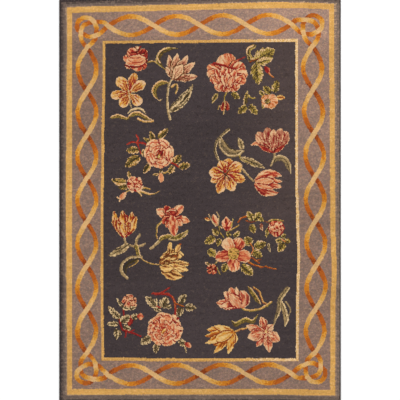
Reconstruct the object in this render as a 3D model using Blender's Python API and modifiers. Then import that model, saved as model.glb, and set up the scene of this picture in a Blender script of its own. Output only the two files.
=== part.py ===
"""Hand-knotted floral wool rug lying flat: one pile cloth with an overcast cord down each side.

Metres, +Z up. X runs across the rug, Y runs along it and the floor is z = 0. The origin is the
centre of the rug's underside.
"""
import math

import bpy

# The whole rug, measured flat over both side cords and along its longer, right-hand side.
RUG_WIDTH = 1.520
RUG_LENGTH = 2.180

# Thickness of the cloth: the woven foundation, and the clipped pile that stands on it.
FOUNDATION = 0.0025
PILE_HEIGHT = 0.0075
CLOTH_THICKNESS = FOUNDATION + PILE_HEIGHT

# The overcast cord down each side: a bundle of warps wrapped in wool, laid against the pile.
CORD_DIAMETER = 0.0064
CORD_GAP = 0.0003
CORD_END_SETBACK = 0.0015
CORD_STEP = 0.055
CORD_SIDES_RESOLUTION = 2

# How far the weaver's ends run out of square, and the slow wave left in them.
TOP_END_SLOPE = 0.012
BOTTOM_END_SLOPE = 0.004
END_WAVE = 0.0012
END_WAVE_LENGTH = 0.62

# The pile's soft rim, and the grid that follows the uneven ends.
RIM_RADIUS = 0.0028
RIM_SEGMENTS = 3
CELLS_ACROSS = 22
CELLS_ALONG = 30

CLOTH_HALF_WIDTH = RUG_WIDTH / 2.0 - CORD_DIAMETER - CORD_GAP

PILE_COLOUR = (0.058, 0.043, 0.043, 1.0)
CORD_COLOUR = (0.045, 0.035, 0.033, 1.0)
WOOL_ROUGHNESS = 0.95


def clear_scene():
    """Remove every object, whatever the file held before."""
    for obj in list(bpy.data.objects):
        bpy.data.objects.remove(obj, do_unlink=True)


def new_collection(name):
    """A collection of that name, linked to the scene."""
    collection = bpy.data.collections.new(name)
    bpy.context.scene.collection.children.link(collection)
    return collection


def move_to(collection, obj):
    """Keep the object in this collection only."""
    for other in list(obj.users_collection):
        other.objects.unlink(obj)
    collection.objects.link(obj)


def wool(name, colour):
    """Matt wool: a Principled material with no metal in it."""
    material = bpy.data.materials.new(name)
    material.use_nodes = True
    shader = material.node_tree.nodes["Principled BSDF"]
    shader.inputs["Base Color"].default_value = colour
    shader.inputs["Roughness"].default_value = WOOL_ROUGHNESS
    shader.inputs["Metallic"].default_value = 0.0
    return material


def end_wave(x):
    """The slow wave that beating in the last rows leaves along an end."""
    return END_WAVE * math.sin(2.0 * math.pi * x / END_WAVE_LENGTH)


def top_end(x):
    """Y of the far end at this x: the left corner falls short of the right one."""
    share = 0.5 - x / RUG_WIDTH
    return RUG_LENGTH / 2.0 - TOP_END_SLOPE * share - end_wave(x) * share


def bottom_end(x):
    """Y of the near end at this x."""
    share = 0.5 - x / RUG_WIDTH
    return -RUG_LENGTH / 2.0 + BOTTOM_END_SLOPE * share + end_wave(x) * share


def build_cloth(collection):
    """The pile and its foundation as one flat cloth with a soft rim."""
    bpy.ops.mesh.primitive_grid_add(
        x_subdivisions=CELLS_ACROSS, y_subdivisions=CELLS_ALONG, size=2.0)
    cloth = bpy.context.active_object
    cloth.name = "knotted_rug"
    cloth.data.name = "knotted_rug"
    for vertex in cloth.data.vertices:
        x = vertex.co.x * CLOTH_HALF_WIDTH
        along = (vertex.co.y + 1.0) / 2.0
        y = bottom_end(x) + along * (top_end(x) - bottom_end(x))
        vertex.co = (x, y, 0.0)
    thickness = cloth.modifiers.new("thickness", "SOLIDIFY")
    thickness.thickness = CLOTH_THICKNESS
    thickness.offset = 1.0
    rim = cloth.modifiers.new("rim", "BEVEL")
    rim.width = RIM_RADIUS
    rim.segments = RIM_SEGMENTS
    rim.limit_method = "ANGLE"
    rim.angle_limit = math.radians(50.0)
    cloth.data.materials.append(wool("wool_pile", PILE_COLOUR))
    move_to(collection, cloth)
    return cloth


def build_side_cord(collection, name, side):
    """The overcast cord along one side, resting on the floor beside the pile."""
    centre_x = side * (RUG_WIDTH / 2.0 - CORD_DIAMETER / 2.0)
    start = bottom_end(centre_x) + CORD_END_SETBACK
    end = top_end(centre_x) - CORD_END_SETBACK
    count = round((end - start) / CORD_STEP) + 1
    curve = bpy.data.curves.new(name, "CURVE")
    curve.dimensions = "3D"
    curve.bevel_depth = CORD_DIAMETER / 2.0
    curve.bevel_resolution = CORD_SIDES_RESOLUTION
    curve.use_fill_caps = True
    line = curve.splines.new("POLY")
    line.points.add(count - 1)
    for index, point in enumerate(line.points):
        y = start + (end - start) * index / (count - 1)
        point.co = (0.0, y, 0.0, 1.0)
    curve.materials.append(wool("wool_overcast", CORD_COLOUR))
    cord = bpy.data.objects.new(name, curve)
    cord.location = (centre_x, 0.0, CORD_DIAMETER / 2.0)
    collection.objects.link(cord)
    return cord


clear_scene()
rug_parts = new_collection("hand_knotted_rug")
build_cloth(rug_parts)
build_side_cord(rug_parts, "selvedge_left", -1.0)
build_side_cord(rug_parts, "selvedge_right", 1.0)
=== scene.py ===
import math

import bpy
import numpy as np
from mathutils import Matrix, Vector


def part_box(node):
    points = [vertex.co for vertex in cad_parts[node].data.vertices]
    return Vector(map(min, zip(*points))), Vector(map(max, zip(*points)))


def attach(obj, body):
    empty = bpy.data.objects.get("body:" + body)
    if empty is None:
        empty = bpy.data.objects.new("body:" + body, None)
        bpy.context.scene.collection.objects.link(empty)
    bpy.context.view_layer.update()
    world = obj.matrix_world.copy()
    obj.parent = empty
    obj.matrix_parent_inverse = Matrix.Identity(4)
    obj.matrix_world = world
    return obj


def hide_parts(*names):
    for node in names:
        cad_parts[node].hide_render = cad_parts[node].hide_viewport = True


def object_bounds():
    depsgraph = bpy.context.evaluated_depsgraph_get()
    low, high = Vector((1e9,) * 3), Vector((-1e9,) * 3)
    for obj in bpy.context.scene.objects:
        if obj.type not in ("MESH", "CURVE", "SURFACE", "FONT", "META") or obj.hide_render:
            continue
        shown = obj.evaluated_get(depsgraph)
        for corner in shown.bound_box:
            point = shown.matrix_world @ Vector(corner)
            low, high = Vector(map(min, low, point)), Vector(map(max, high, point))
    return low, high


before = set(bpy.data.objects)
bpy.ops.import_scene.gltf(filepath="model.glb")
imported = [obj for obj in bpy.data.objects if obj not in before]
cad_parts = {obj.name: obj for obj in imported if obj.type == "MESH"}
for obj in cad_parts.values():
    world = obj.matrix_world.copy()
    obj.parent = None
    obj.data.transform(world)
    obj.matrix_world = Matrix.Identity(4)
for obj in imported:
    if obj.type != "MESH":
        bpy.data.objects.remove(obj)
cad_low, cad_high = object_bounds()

# The cloth: one wool pile knotted row by row on a woven foundation and clipped level.
# Every knot holds one dyed yarn, so the pattern is a squared chart with a dye for each knot.
# The weaver's ends run a little out of square, and every row follows the end nearest to it.
cloth_low, cloth_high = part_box("knotted_rug")
cloth_half = cloth_high[0]
cloth_top = cloth_high[2]
rug_half = cad_high[0]
end_half = cad_high[1]
KNOT_COLUMNS = 448
KNOT_ROWS = 648
TOP_END_SLOPE = 0.012
BOTTOM_END_SLOPE = 0.004
END_WAVE = 0.0012
END_WAVE_LENGTH = 0.62

# The cartoon is drawn on squares, which are counted from its centre, 282 across the rug.
SQUARES_ACROSS = 282.0
CARTOON_TOP = 199.5
SQUARE = 2.0 * rug_half / SQUARES_ACROSS


def end_wave(x):
    """How far the ends waver here, in metres."""
    return END_WAVE * np.sin(2.0 * np.pi * x / END_WAVE_LENGTH)


def far_end(x):
    """Where the upper end of the rug runs; share is 1 at the left edge and 0 at the right."""
    share = 0.5 - x / (2.0 * rug_half)
    return end_half - TOP_END_SLOPE * share - end_wave(x) * share


def near_end(x):
    """Where the lower end runs."""
    share = 0.5 - x / (2.0 * rug_half)
    return -end_half + BOTTOM_END_SLOPE * share + end_wave(x) * share


def on_cloth(across, along):
    """The place in metres of a point given as shares of the cloth's width and length."""
    x = (2.0 * across - 1.0) * cloth_half
    return x, near_end(x) + along * (far_end(x) - near_end(x))


knot_across, knot_along = np.meshgrid(
    (np.arange(KNOT_COLUMNS) + 0.5) / KNOT_COLUMNS, (np.arange(KNOT_ROWS) + 0.5) / KNOT_ROWS)
knot_x, knot_y = on_cloth(knot_across, knot_along)
square_x = knot_x / SQUARE
square_y = knot_y / SQUARE

SWELLS_ACROSS = 101
SWELLS_ALONG = 103
SWELLS = np.random.default_rng(58).uniform(-1.0, 1.0, (SWELLS_ACROSS, SWELLS_ALONG))


def soft_step(value, start, end):
    """Rises smoothly from 0 at start to 1 at end."""
    t = np.clip((value - start) / (end - start), 0.0, 1.0)
    return t * t * (3.0 - 2.0 * t)


def flecks(u, v):
    """Soft random swells, one to each unit of u and v, from -1 to 1."""
    i = np.floor(u).astype(int)
    j = np.floor(v).astype(int)
    to_right = soft_step(u - i, 0.0, 1.0)
    up = soft_step(v - j, 0.0, 1.0)
    next_i = (i + 1) % SWELLS_ACROSS
    next_j = (j + 1) % SWELLS_ALONG
    i = i % SWELLS_ACROSS
    j = j % SWELLS_ALONG
    left = SWELLS[i, j] * (1.0 - up) + SWELLS[i, next_j] * up
    right = SWELLS[next_i, j] * (1.0 - up) + SWELLS[next_i, next_j] * up
    return left * (1.0 - to_right) + right * to_right


# A weaver reads the cartoon by eye, so every line of it strays by part of a knot, and the
# yarn in each knot takes the dye a little differently from its neighbours. Grain differs from
# knot to knot and mottle from patch to patch. The offsets keep x and y from straying alike.
STRAY = 0.35
STRAY_LENGTH = 4.0
KNOT_STRAY = 0.18
hand = np.random.default_rng(1874)
grain = hand.uniform(-1.0, 1.0, knot_x.shape)
mottle = flecks(square_x / 1.5, square_y / 1.2)
drawn_x = (square_x + STRAY * flecks(square_x / STRAY_LENGTH + 31.0, square_y / STRAY_LENGTH)
           + KNOT_STRAY * hand.uniform(-1.0, 1.0, knot_x.shape))
drawn_y = (square_y + STRAY * flecks(square_x / STRAY_LENGTH, square_y / STRAY_LENGTH + 57.0)
           + KNOT_STRAY * hand.uniform(-1.0, 1.0, knot_x.shape))

# The dyed wools, from the skeins that such a rug is knotted with.
DYES = {
    "charcoal": "#423839", "soot": "#3a3030", "umber": "#51443e", "drab": "#6d5c53",
    "grey drab": "#7a695d", "fawn": "#8b7364",
    "taupe": "#8c7061", "rose taupe": "#97786a", "ash taupe": "#7f6a60", "sand taupe": "#a3866a",
    "honey": "#d4a056", "straw": "#dcac68", "primrose": "#e4bc78", "ochre": "#c6914a", "tan": "#d6aa72",
    "cream": "#e0b68a", "ivory": "#e9c699", "peach": "#dba276", "shell": "#d58c5e",
    "salmon": "#cb744b", "coral": "#b94f35", "madder": "#9f3323", "crimson": "#861d1b",
    "wine": "#55140f", "old rose": "#c28663", "dusky pink": "#ae6a4e", "dusk": "#8c4232",
    "saffron": "#d4943a", "amber": "#bf7a3c", "orange": "#c6781f", "russet": "#ae5a1c", "rust": "#8c3f17",
    "brown": "#5f3315", "walnut": "#47301c", "cinnamon": "#9c6a44",
    "sage": "#c4a563", "lime": "#b3953f", "moss": "#9f833c", "olive": "#7b632e",
    "dark olive": "#584321", "bottle": "#3d321c",
    "oat": "#dabb8b", "stone": "#bd9d70", "celadon": "#9f8358", "grey sage": "#806a4b",
    "slate": "#5a4a36",
}
dye_names = list(DYES)
dye_number = {name: number for number, name in enumerate(dye_names)}

# The chart holds the dye of every knot, and flowered marks the knots of the flower in hand.
chart = np.full(knot_x.shape, dye_number["charcoal"], int)
flowered = np.zeros(knot_x.shape, bool)

# Skeins that a weaver keeps together for one motif, from the darkest to the lightest.
PINK = ["crimson", "madder", "coral", "salmon", "shell", "peach", "cream"]
RED = ["wine", "crimson", "crimson", "madder", "coral", "salmon", "peach"]
BLUSH = ["brown", "dusk", "dusky pink", "old rose", "peach", "cream", "cream"]
DUSKY = ["crimson", "dusk", "dusky pink", "dusky pink", "old rose", "peach", "cream"]
CORAL = ["crimson", "dusk", "coral", "salmon", "old rose", "peach", "cream"]
PEACH = ["russet", "salmon", "shell", "shell", "peach", "peach", "cream"]
FLAME = ["crimson", "madder", "madder", "amber", "saffron", "straw", "cream"]
STRIPED = ["crimson", "crimson", "rust", "russet", "saffron", "straw", "tan"]
GOLD = ["brown", "rust", "cinnamon", "ochre", "honey", "straw", "primrose"]
AMBER = ["rust", "russet", "orange", "saffron", "honey", "straw", "primrose"]
GREEN = ["bottle", "dark olive", "olive", "moss", "moss", "sage", "cream"]
YELLOW_GREEN = ["bottle", "dark olive", "olive", "moss", "lime", "sage", "cream"]
GREY_GREEN = ["bottle", "slate", "grey sage", "celadon", "celadon", "stone", "oat"]
DUSTY_GREEN = ["bottle", "dark olive", "slate", "grey sage", "stone", "oat", "oat"]
TAN = ["bottle", "dark olive", "olive", "moss", "ochre", "tan", "cream"]
TWIG = ["wine", "crimson", "crimson", "crimson", "madder", "madder", "coral"]
RUST_TWIG = ["wine", "brown", "rust", "rust", "russet", "orange", "shell"]
STAMEN = ["wine", "walnut", "slate", "slate", "grey sage"]
SHADE_GREEN = ["soot", "bottle", "bottle", "dark olive", "olive"]
GOLD_EYE = ["brown", "olive", "ochre", "lime", "ochre", "honey"]

SPARE_KNOTS = 5


def near(points, margin):
    """The slice of the chart that holds these points with a margin, all in squares."""
    points = np.asarray(points, float)
    low = points.min(0) - margin
    high = points.max(0) + margin
    scale_x = SQUARE * KNOT_COLUMNS / (2.0 * cloth_half)
    scale_y = SQUARE * KNOT_ROWS / (2.0 * end_half)
    columns = slice(max(0, int(low[0] * scale_x + KNOT_COLUMNS / 2) - SPARE_KNOTS),
                    max(0, int(high[0] * scale_x + KNOT_COLUMNS / 2) + SPARE_KNOTS))
    rows = slice(max(0, int(low[1] * scale_y + KNOT_ROWS / 2) - SPARE_KNOTS),
                 max(0, int(high[1] * scale_y + KNOT_ROWS / 2) + SPARE_KNOTS))
    return rows, columns


def knot(area, mask, skeins, tone):
    """Knots the masked part of an area, tone 0 with the darkest skein and 1 with the lightest."""
    numbers = np.array([dye_number[name] for name in skeins])
    pick = np.clip((tone * len(skeins)).astype(int), 0, len(skeins) - 1)
    chart[area][mask] = numbers[pick][mask]
    flowered[area] |= mask


def from_line(area, line):
    """For each knot of an area: its distance from a line of points, its side and its share along."""
    away_x = drawn_x[area][..., None] - line[:, 0]
    away_y = drawn_y[area][..., None] - line[:, 1]
    squared = away_x ** 2 + away_y ** 2
    best = squared.argmin(-1)
    heading = np.gradient(line, axis=0)
    heading /= np.maximum(np.hypot(heading[:, 0], heading[:, 1]), 1e-9)[:, None]
    off_x = np.take_along_axis(away_x, best[..., None], -1)[..., 0]
    off_y = np.take_along_axis(away_y, best[..., None], -1)[..., 0]
    side = heading[best, 0] * off_y - heading[best, 1] * off_x
    return np.hypot(off_x, off_y), side, best / (len(line) - 1.0)


def bowed_line(foot, tip, bend):
    """Points from foot to tip, bowed to the left by this share of the length."""
    foot = np.asarray(foot, float)
    along = np.asarray(tip, float) - foot
    share = np.linspace(0.0, 1.0, 41)[:, None]
    left = np.array([-along[1], along[0]])
    return foot + along * share + left * bend * 4.0 * share * (1.0 - share)


# Petals are kept slim, so that the dark lines between them show. Their streaks are about one
# square wide and four long, and their outlines take one of the two lightest skeins.
PETAL_TRIM = 0.95
STREAK_WIDTH = 1.15
STREAK_LENGTH = 4.2
RIM_TONE = 0.88


def vein_lines(across, side, place, rise, veins, mark):
    """Where a petal's dark veins run: they fan out from its foot, with short forks between."""
    fan = (across * veins + 0.3 * flecks(rise / 2.6 + mark, across) + 0.5) % 1.0
    fork = (rise / 3.0 - 0.5 * np.abs(side) + 0.2 * np.sign(side)) % 1.0
    fanned = (np.abs(fan - 0.5) < 0.17) & (place < 0.88 - 0.3 * np.abs(across))
    forked = (fork < 0.20) & (np.abs(across) > 0.25) & (place < 0.72)
    return (fanned | forked) & (np.abs(across) < 0.85)


def petal(foot, tip, width, skeins, tone=0.5, belly=0.6, blunt=0.75, bend=0.0, fade=0.35,
          rim=0.7, veins=0.0, depth=0.26, lit=0.10, ruffle=0.10, parting=0.95):
    """One petal, dark at its foot, with streaks running up it and a broken light outline.

    belly is where it is widest, blunt is low for a round tip, and fade is how much lighter the
    tip is. depth sets the streaks, rim the width of the outline, and parting that of the dark
    line round it, where it lies over another petal. veins counts the veins on each side.
    """
    length = math.hypot(tip[0] - foot[0], tip[1] - foot[1])
    mark = 3.7 * foot[0] + 1.3 * tip[1]
    line = bowed_line(foot, tip, bend)
    area = near(line, width * 0.6 + 2.0)
    distance, side, place = from_line(area, line)
    rise = place * length
    power = math.log(0.5) / math.log(belly)
    half = 0.5 * width * np.sin(np.pi * np.clip(place, 0.0, 1.0) ** power) ** blunt
    half = PETAL_TRIM * half * (1.0 + ruffle * flecks(rise / 2.2 + mark, 5.0 * np.sign(side) + mark))
    inside = distance <= half

    # The dark line that parts it from the petals under it.
    gap = (distance <= half + parting) & ~inside & flowered[area] & (place > 0.08) & (place < 0.99)
    knot(area, gap & (mottle[area] > -0.7), skeins, 0.13 * (grain[area] > 0.3))

    # It is lighter towards its tip and on one side, in broad sweeps and fine streaks.
    across = side / np.maximum(half, 0.4)
    sweep = flecks(across * 1.3 + mark, place * 1.5 - mark)
    streak = flecks(side / STREAK_WIDTH + mark, rise / STREAK_LENGTH - mark)
    streak = np.clip(1.8 * streak, -1.0, 1.0)
    light = tone + fade * (place - 0.5) + lit * across + depth * (0.5 * sweep + 0.85 * streak)
    light = light + 0.07 * grain[area]
    if veins:
        vein = vein_lines(across, side, place, rise, veins, mark)
        light = np.where(vein, light - 0.70 * (1.20 - place), light)

    # Its light outline is ragged, and open at the foot.
    ragged = flecks(rise / 1.8 - mark, side * 0.4)
    edge = (half - distance < rim * (0.75 + 0.8 * ragged)) & (place > 0.12)
    light = np.where(edge, np.maximum(light, RIM_TONE + 0.12 * grain[area]), light)
    knot(area, inside, skeins, np.clip(light, 0.0, 0.999))


def petals(foot, skeins, rows, **shape):
    """Petals that rise from one foot, the hindmost first: each row is tip x, tip y, width, tone."""
    for tip_x, tip_y, width, tone in rows:
        petal(foot, (tip_x, tip_y), width, skeins, tone=tone, **shape)


# Leaves and blades are edged here and there with their second darkest skein.
SHADED_EDGE = 0.17
EDGE_WIDTH = 0.7


def leaf(foot, tip, width, skeins=GREEN, bend=0.0, teeth=3, tone=0.52, lit=0.12):
    """One leaf with a dark midrib, its edges light in places and dark in others.

    With teeth it is notched and veined, and without them it is smooth and streaked.
    """
    length = math.hypot(tip[0] - foot[0], tip[1] - foot[1])
    line = bowed_line(foot, tip, bend)
    area = near(line, width * 0.6 + 2.0)
    distance, side, place = from_line(area, line)
    half = 0.5 * width * 1.99 * place ** 0.55 * (1.0 - place) ** 0.75
    notch = (teeth * place + 0.45 * (side > 0.0)) % 1.0
    half = half * (0.88 + 0.30 * notch * (teeth > 0))
    inside = distance <= half
    across = np.abs(side) / np.maximum(half, 0.4)
    patch = flecks(drawn_x[area] / 1.4 + foot[0], drawn_y[area] / 1.4)
    light = (tone + 0.33 * (across - 0.5) + lit * np.sign(side) + 0.24 * patch
             + 0.07 * grain[area])
    slant = (place * length / 2.7 - np.abs(side) * 0.40) % 1.0
    if teeth:
        light = np.where((slant < 0.35) & (across < 0.85) & (half > 1.5), light - 0.42, light)
    else:
        light = light + 0.42 * flecks(side / 1.1 + foot[0], place * length / 6.0)
    light = np.where((distance < 0.42) & (place < 0.75), 0.03, light)
    edge = half - distance < EDGE_WIDTH
    light = np.where(edge & (patch > -0.20), np.maximum(light, 0.77 + 0.24 * patch), light)
    light = np.where(edge & (patch < -0.20), SHADED_EDGE, light)
    knot(area, inside, skeins, np.clip(light, 0.0, 0.999))


def leaves(skeins, rows, **shape):
    """Several leaves: each row is foot x, foot y, tip x, tip y, width."""
    for foot_x, foot_y, tip_x, tip_y, width in rows:
        leaf((foot_x, foot_y), (tip_x, tip_y), width, skeins, **shape)


def smooth_line(points, step=0.4):
    """A smooth curve through hand-set points, as closely spaced points."""
    points = np.asarray(points, float)
    padded = np.vstack([2.0 * points[0] - points[1], points, 2.0 * points[-1] - points[-2]])
    pieces = []
    for a, b, c, d in zip(padded[:-3], padded[1:-2], padded[2:-1], padded[3:]):
        count = max(2, int(np.hypot(*(c - b)) / step))
        t = np.linspace(0.0, 1.0, count, endpoint=False)[:, None]
        pieces.append(0.5 * (2.0 * b + (c - a) * t + (2.0 * a - 5.0 * b + 4.0 * c - d) * t ** 2
                             + (3.0 * b - a - 3.0 * c + d) * t ** 3))
    return np.vstack(pieces + [points[-1:]])


BLADE_WIDTH = 2.8


def stem(points, width=1.8, skeins=GREEN, taper=0.25, swell=0.0, tone=0.55, pointed=False,
         lit=0.27):
    """A stem, twig or long blade along a curve, lighter on one side.

    A blade is at least as wide as BLADE_WIDTH, with a light and a dark edge and a dark midrib.
    """
    line = smooth_line(points)
    area = near(line, width + 1.5)
    distance, side, place = from_line(area, line)
    half = 0.5 * width * (1.0 - taper * place + swell * np.sin(np.pi * place))
    if pointed:
        half = half * np.clip(4.0 * np.minimum(place + 0.04, 1.0 - place), 0.0, 1.0) ** 0.7
    half = np.maximum(half, 0.42) * (1.0 + 0.12 * mottle[area])
    inside = distance <= half
    light = (tone + lit * side / np.maximum(half, 0.5) + 0.14 * mottle[area]
             + 0.08 * grain[area])
    if width >= BLADE_WIDTH:
        edge = half - distance < 0.65
        light = np.where(edge, light + 0.14, light - 0.07)
        shaded = edge & (side * lit < 0.0) & (mottle[area] > -0.35)
        light = np.where(shaded, SHADED_EDGE, light)
        rib = (np.abs(side) < 0.38) & (half > 1.2) & (mottle[area] > -0.4)
        light = np.where(rib, 0.10, light)
    knot(area, inside, skeins, np.clip(light, 0.0, 0.999))


def stems(skeins, rows, **shape):
    """Several stems: each row is its width, its tone and then its points."""
    for width, tone, *points in rows:
        stem(points, width, skeins, tone=tone, **shape)


def blot(centre, across, along, skeins, tone=0.5, turn=0.0, speckle=0.2):
    """A small round or oval patch, such as a flower's eye."""
    area = near([centre], max(across, along) + 1.5)
    x = drawn_x[area] - centre[0]
    y = drawn_y[area] - centre[1]
    u = x * math.cos(turn) + y * math.sin(turn)
    v = y * math.cos(turn) - x * math.sin(turn)
    inside = (u / across) ** 2 + (v / along) ** 2 <= 1.0
    light = tone + speckle * (0.5 * grain[area] + mottle[area])
    knot(area, inside, skeins, np.clip(light, 0.0, 0.999))


def new_flower():
    """The next flower lies on bare ground, so no dark line parts it from what is there."""
    flowered[:] = False


def bloom(centre, radius, skeins, rings, turn=0.0, flat=1.0, tone=0.40, fade=0.50, rim=0.9,
          blunt=0.40, depth=0.24, folds=0.0, parting=1.15):
    """A full rose or peony: rings of overlapping round petals, from the outermost inwards.

    Each ring gives its reach as a share of the radius, its petals, and their width likewise.
    folds is the width of the red line that follows each petal inside its rim.
    """
    cx, cy = centre
    blot(centre, radius * 0.86, radius * 0.86 * flat, skeins, tone=0.15)
    for number, (reach, count, wide) in enumerate(rings):
        for k in range(count):
            stray = math.sin(5.3 * k + 2.1 * number + cx)
            angle = turn + 0.9 * number + 2.0 * math.pi * (k + 0.12 * stray) / count
            out = radius * reach * (1.0 + 0.07 * stray)
            tip = (cx + out * math.cos(angle), cy + out * flat * math.sin(angle))
            foot = (cx + 0.3 * out * math.cos(angle + 0.3),
                    cy + 0.3 * out * flat * math.sin(angle + 0.3))
            petal(foot, tip, radius * wide, skeins, tone=tone + 0.08 * stray, belly=0.70,
                  blunt=blunt, fade=fade, rim=rim, depth=depth, parting=parting)
            if folds:
                turned = angle + np.linspace(-0.34, 0.26, 5) * (0.6 + 0.4 / reach)
                drawn_in = out * (0.80 - 0.05 * np.cos(7.0 * turned))
                stem(np.stack([cx + drawn_in * np.cos(turned),
                               cy + drawn_in * flat * np.sin(turned)], 1), folds, skeins[:4],
                     tone=0.60)


# The borders: dark edge stripes, a gold guard, the taupe border and a narrow gold guard inside.
# They are knotted with the field, counted in from the edges, and stray by a knot or two. Their
# lines are in squares: down from the top of the cartoon, and to the right from its middle.
down = CARTOON_TOP - square_y
top_line = 4.0 - 0.0235 * square_x + 0.00052 * np.maximum(0.0, square_x - 60.0) ** 2
inner_top_line = 39.85 - 0.0098 * square_x
bottom_line = 394.6 + 0.9 * soft_step(square_x, 70.0, 135.0)
inner_bottom_line = 360.5 + 0.8 * soft_step(square_x, -75.0, -45.0)

# Halfway down the right side the weaver drifted outwards by about a centimetre, and down the
# left side by about half of that. The narrow inner guards drifted on their own.
right_drift = 0.9 * soft_step(down, 40.0, 190.0) + 1.5 * np.exp(-((down - 268.0) / 32.0) ** 2)
inner_right_drift = (soft_step(down, 185.0, 220.0) + 1.1 * np.exp(-((down - 256.0) / 24.0) ** 2)
                     - 0.4 * soft_step(down, 280.0, 345.0))
left_drift = -1.2 * np.exp(-((down - 200.0) / 100.0) ** 2)
inner_left_drift = (1.4 - 1.4 * soft_step(down, 50.0, 150.0) - 0.8 * soft_step(down, 150.0, 220.0)
                    + 0.8 * soft_step(down, 300.0, 345.0))
wander = 0.12 * grain + 0.22 * flecks(square_x / 30.0, square_y / 7.0)
wander_along = 0.12 * grain + 0.22 * flecks(square_x / 7.0, square_y / 30.0)


def within(left, right, top, bottom):
    """The knots inside a frame, each side given as its distance in squares or as a line."""
    return ((square_x + wander > left) & (square_x + wander < right)
            & (down + wander_along > top) & (down + wander_along < bottom))


def lay(mask, lots, main, over, under=None):
    """Knots plain ground in its main dye, flecked where the lots pass over or under a level."""
    chart[mask] = dye_number[main]
    for dye, level in over:
        chart[mask & (lots > level)] = dye_number[dye]
    if under:
        chart[mask & (lots < under[1])] = dye_number[under[0]]


# Each edge stripe: its dye and its flecks, where its left and right edges run, and how far it
# reaches past the gold guard's top and bottom lines.
EDGE_STRIPES = [
    ("soot", "umber", -141.0, 141.5, -6.9, 7.1), ("umber", "drab", -138.4, 139.7, -5.3, 6.0),
    ("drab", "grey drab", -136.6, 139.3, -3.1, 4.6), ("fawn", "sand taupe", -134.4, 136.6, -0.9, 0.9)]
# The left and right edges of the other bands, before the drift.
RIGHT_STRIPE = (136.4, 139.6)
GUARD = (-132.9, 134.2)
TAUPE = (-128.0, 129.2)
INNER_GUARD = (-98.6, 98.0)
FIELD = (-95.9, 95.3)
edge_lots = 0.7 * mottle + 0.5 * grain + 0.5 * flecks(square_x / 9.0, square_y / 0.9)
for main, fleck, left, right, top, bottom in EDGE_STRIPES:
    lay(within(left, right, top_line + top, bottom_line + bottom), edge_lots, main,
        over=[(fleck, 0.35)])
lay(within(*RIGHT_STRIPE, top_line - 1.0, bottom_line + 1.0), edge_lots, "grey drab",
    over=[("fawn", 0.30)], under=("drab", -0.55))
gold_lots = 0.2 * mottle + 0.4 * grain + 0.6 * flecks(square_x / 14.0, square_y / 1.2)
lay(within(GUARD[0] + left_drift, GUARD[1] + right_drift, top_line, bottom_line), gold_lots,
    "honey", over=[("straw", 0.40)], under=("ochre", -0.60))
taupe_lots = 0.9 * flecks(square_x / 1.6 + 9.0, square_y / 1.1) + 0.5 * grain
lay(within(TAUPE[0], TAUPE[1] + right_drift, top_line + 5.8, bottom_line - 5.7), taupe_lots,
    "taupe", over=[("rose taupe", 0.30), ("sand taupe", 0.85)], under=("ash taupe", -0.40))
paler = soft_step(square_x, 0.0, 90.0)
lay(within(INNER_GUARD[0] + inner_left_drift, INNER_GUARD[1] + inner_right_drift, inner_top_line,
           inner_bottom_line), grain + 0.3 * gold_lots, "honey",
    over=[("straw", 0.8 - 1.7 * paler), ("ivory", 1.7 - 1.6 * paler)],
    under=("ochre", -0.5 - paler))
field_lots = 0.8 * flecks(square_x / 2.2, square_y / 1.3 + 5.0) + 0.5 * grain
lay(within(FIELD[0] + inner_left_drift, FIELD[1] + inner_right_drift, inner_top_line + 2.8,
           inner_bottom_line - 3.0), field_lots, "charcoal", over=[("umber", 0.80)],
    under=("soot", -0.66))

# The ribbon: two bands twist round each other along all four sides and tie a knot in each
# corner. Each turns from tan to rust before it passes under the other, and its skeins are
# listed here from the shaded stretch to the light one.
RIBBON = ["rust", "rust", "russet", "russet", "russet", "russet", "orange", "orange",
          "orange", "saffron", "saffron", "honey", "honey", "straw", "tan", "tan"]
RIBBON_WIDTH = 4.6
RIBBON_SWING = 9.3
OVER = 1.0
UNDER = 0.0
upper_parts = []


def ribbon(line, start, end, paler_by=0.0):
    """A stretch of ribbon between two crossings, each over or under.

    The parts that pass over are kept, to be knotted again on top. A stretch can be made paler.
    """
    share = np.linspace(0.0, 1.0, len(line))
    level = start + (end - start) * share
    if start == end:
        level = start + (0.5 - start) * 0.9 * np.sin(np.pi * share)
    area = near(line, RIBBON_WIDTH)
    distance, side, place = from_line(area, line)
    here = np.interp(place, share, level)
    tone = here + paler_by * (1.0 - here) + 0.05 * side / RIBBON_WIDTH
    tone = tone + 0.06 * grain[area] + 0.05 * mottle[area]
    inside = distance <= 0.5 * RIBBON_WIDTH
    knot(area, inside, RIBBON, np.clip(tone, 0.0, 0.999))
    upper_parts.append((area, inside & (here > 0.72), np.clip(tone, 0.0, 0.999)))


def side_drift(y):
    """How far the right border has drifted at this height, for the ribbon inside it."""
    here = CARTOON_TOP - y
    return (2.2 * soft_step(here, 46.0, 190.0) - 0.4 * soft_step(here, 300.0, 350.0)
            + 1.2 * np.exp(-((here - 268.0) / 36.0) ** 2))


def twist(start, end, lobes, along_side, paler_by=0.0):
    """The twisted pair along one side, between its two corner knots."""
    start = np.asarray(start, float)
    end = np.asarray(end, float)
    offset = np.array([1.0, 0.0]) if along_side else np.array([0.0, 1.0])
    for number in range(lobes):
        for swing in (-1.0, 1.0):
            t = np.linspace(0.0, 1.0, 60)[:, None]
            line = start + (end - start) * (number + t) / lobes
            line = line + swing * RIBBON_SWING * np.sin(np.pi * t) * offset
            if along_side and start[0] > 0.0:
                line[:, 0] += side_drift(line[:, 1])
            ribbon(line, OVER if swing < 0.0 else UNDER, UNDER if swing < 0.0 else OVER, paler_by)


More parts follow.
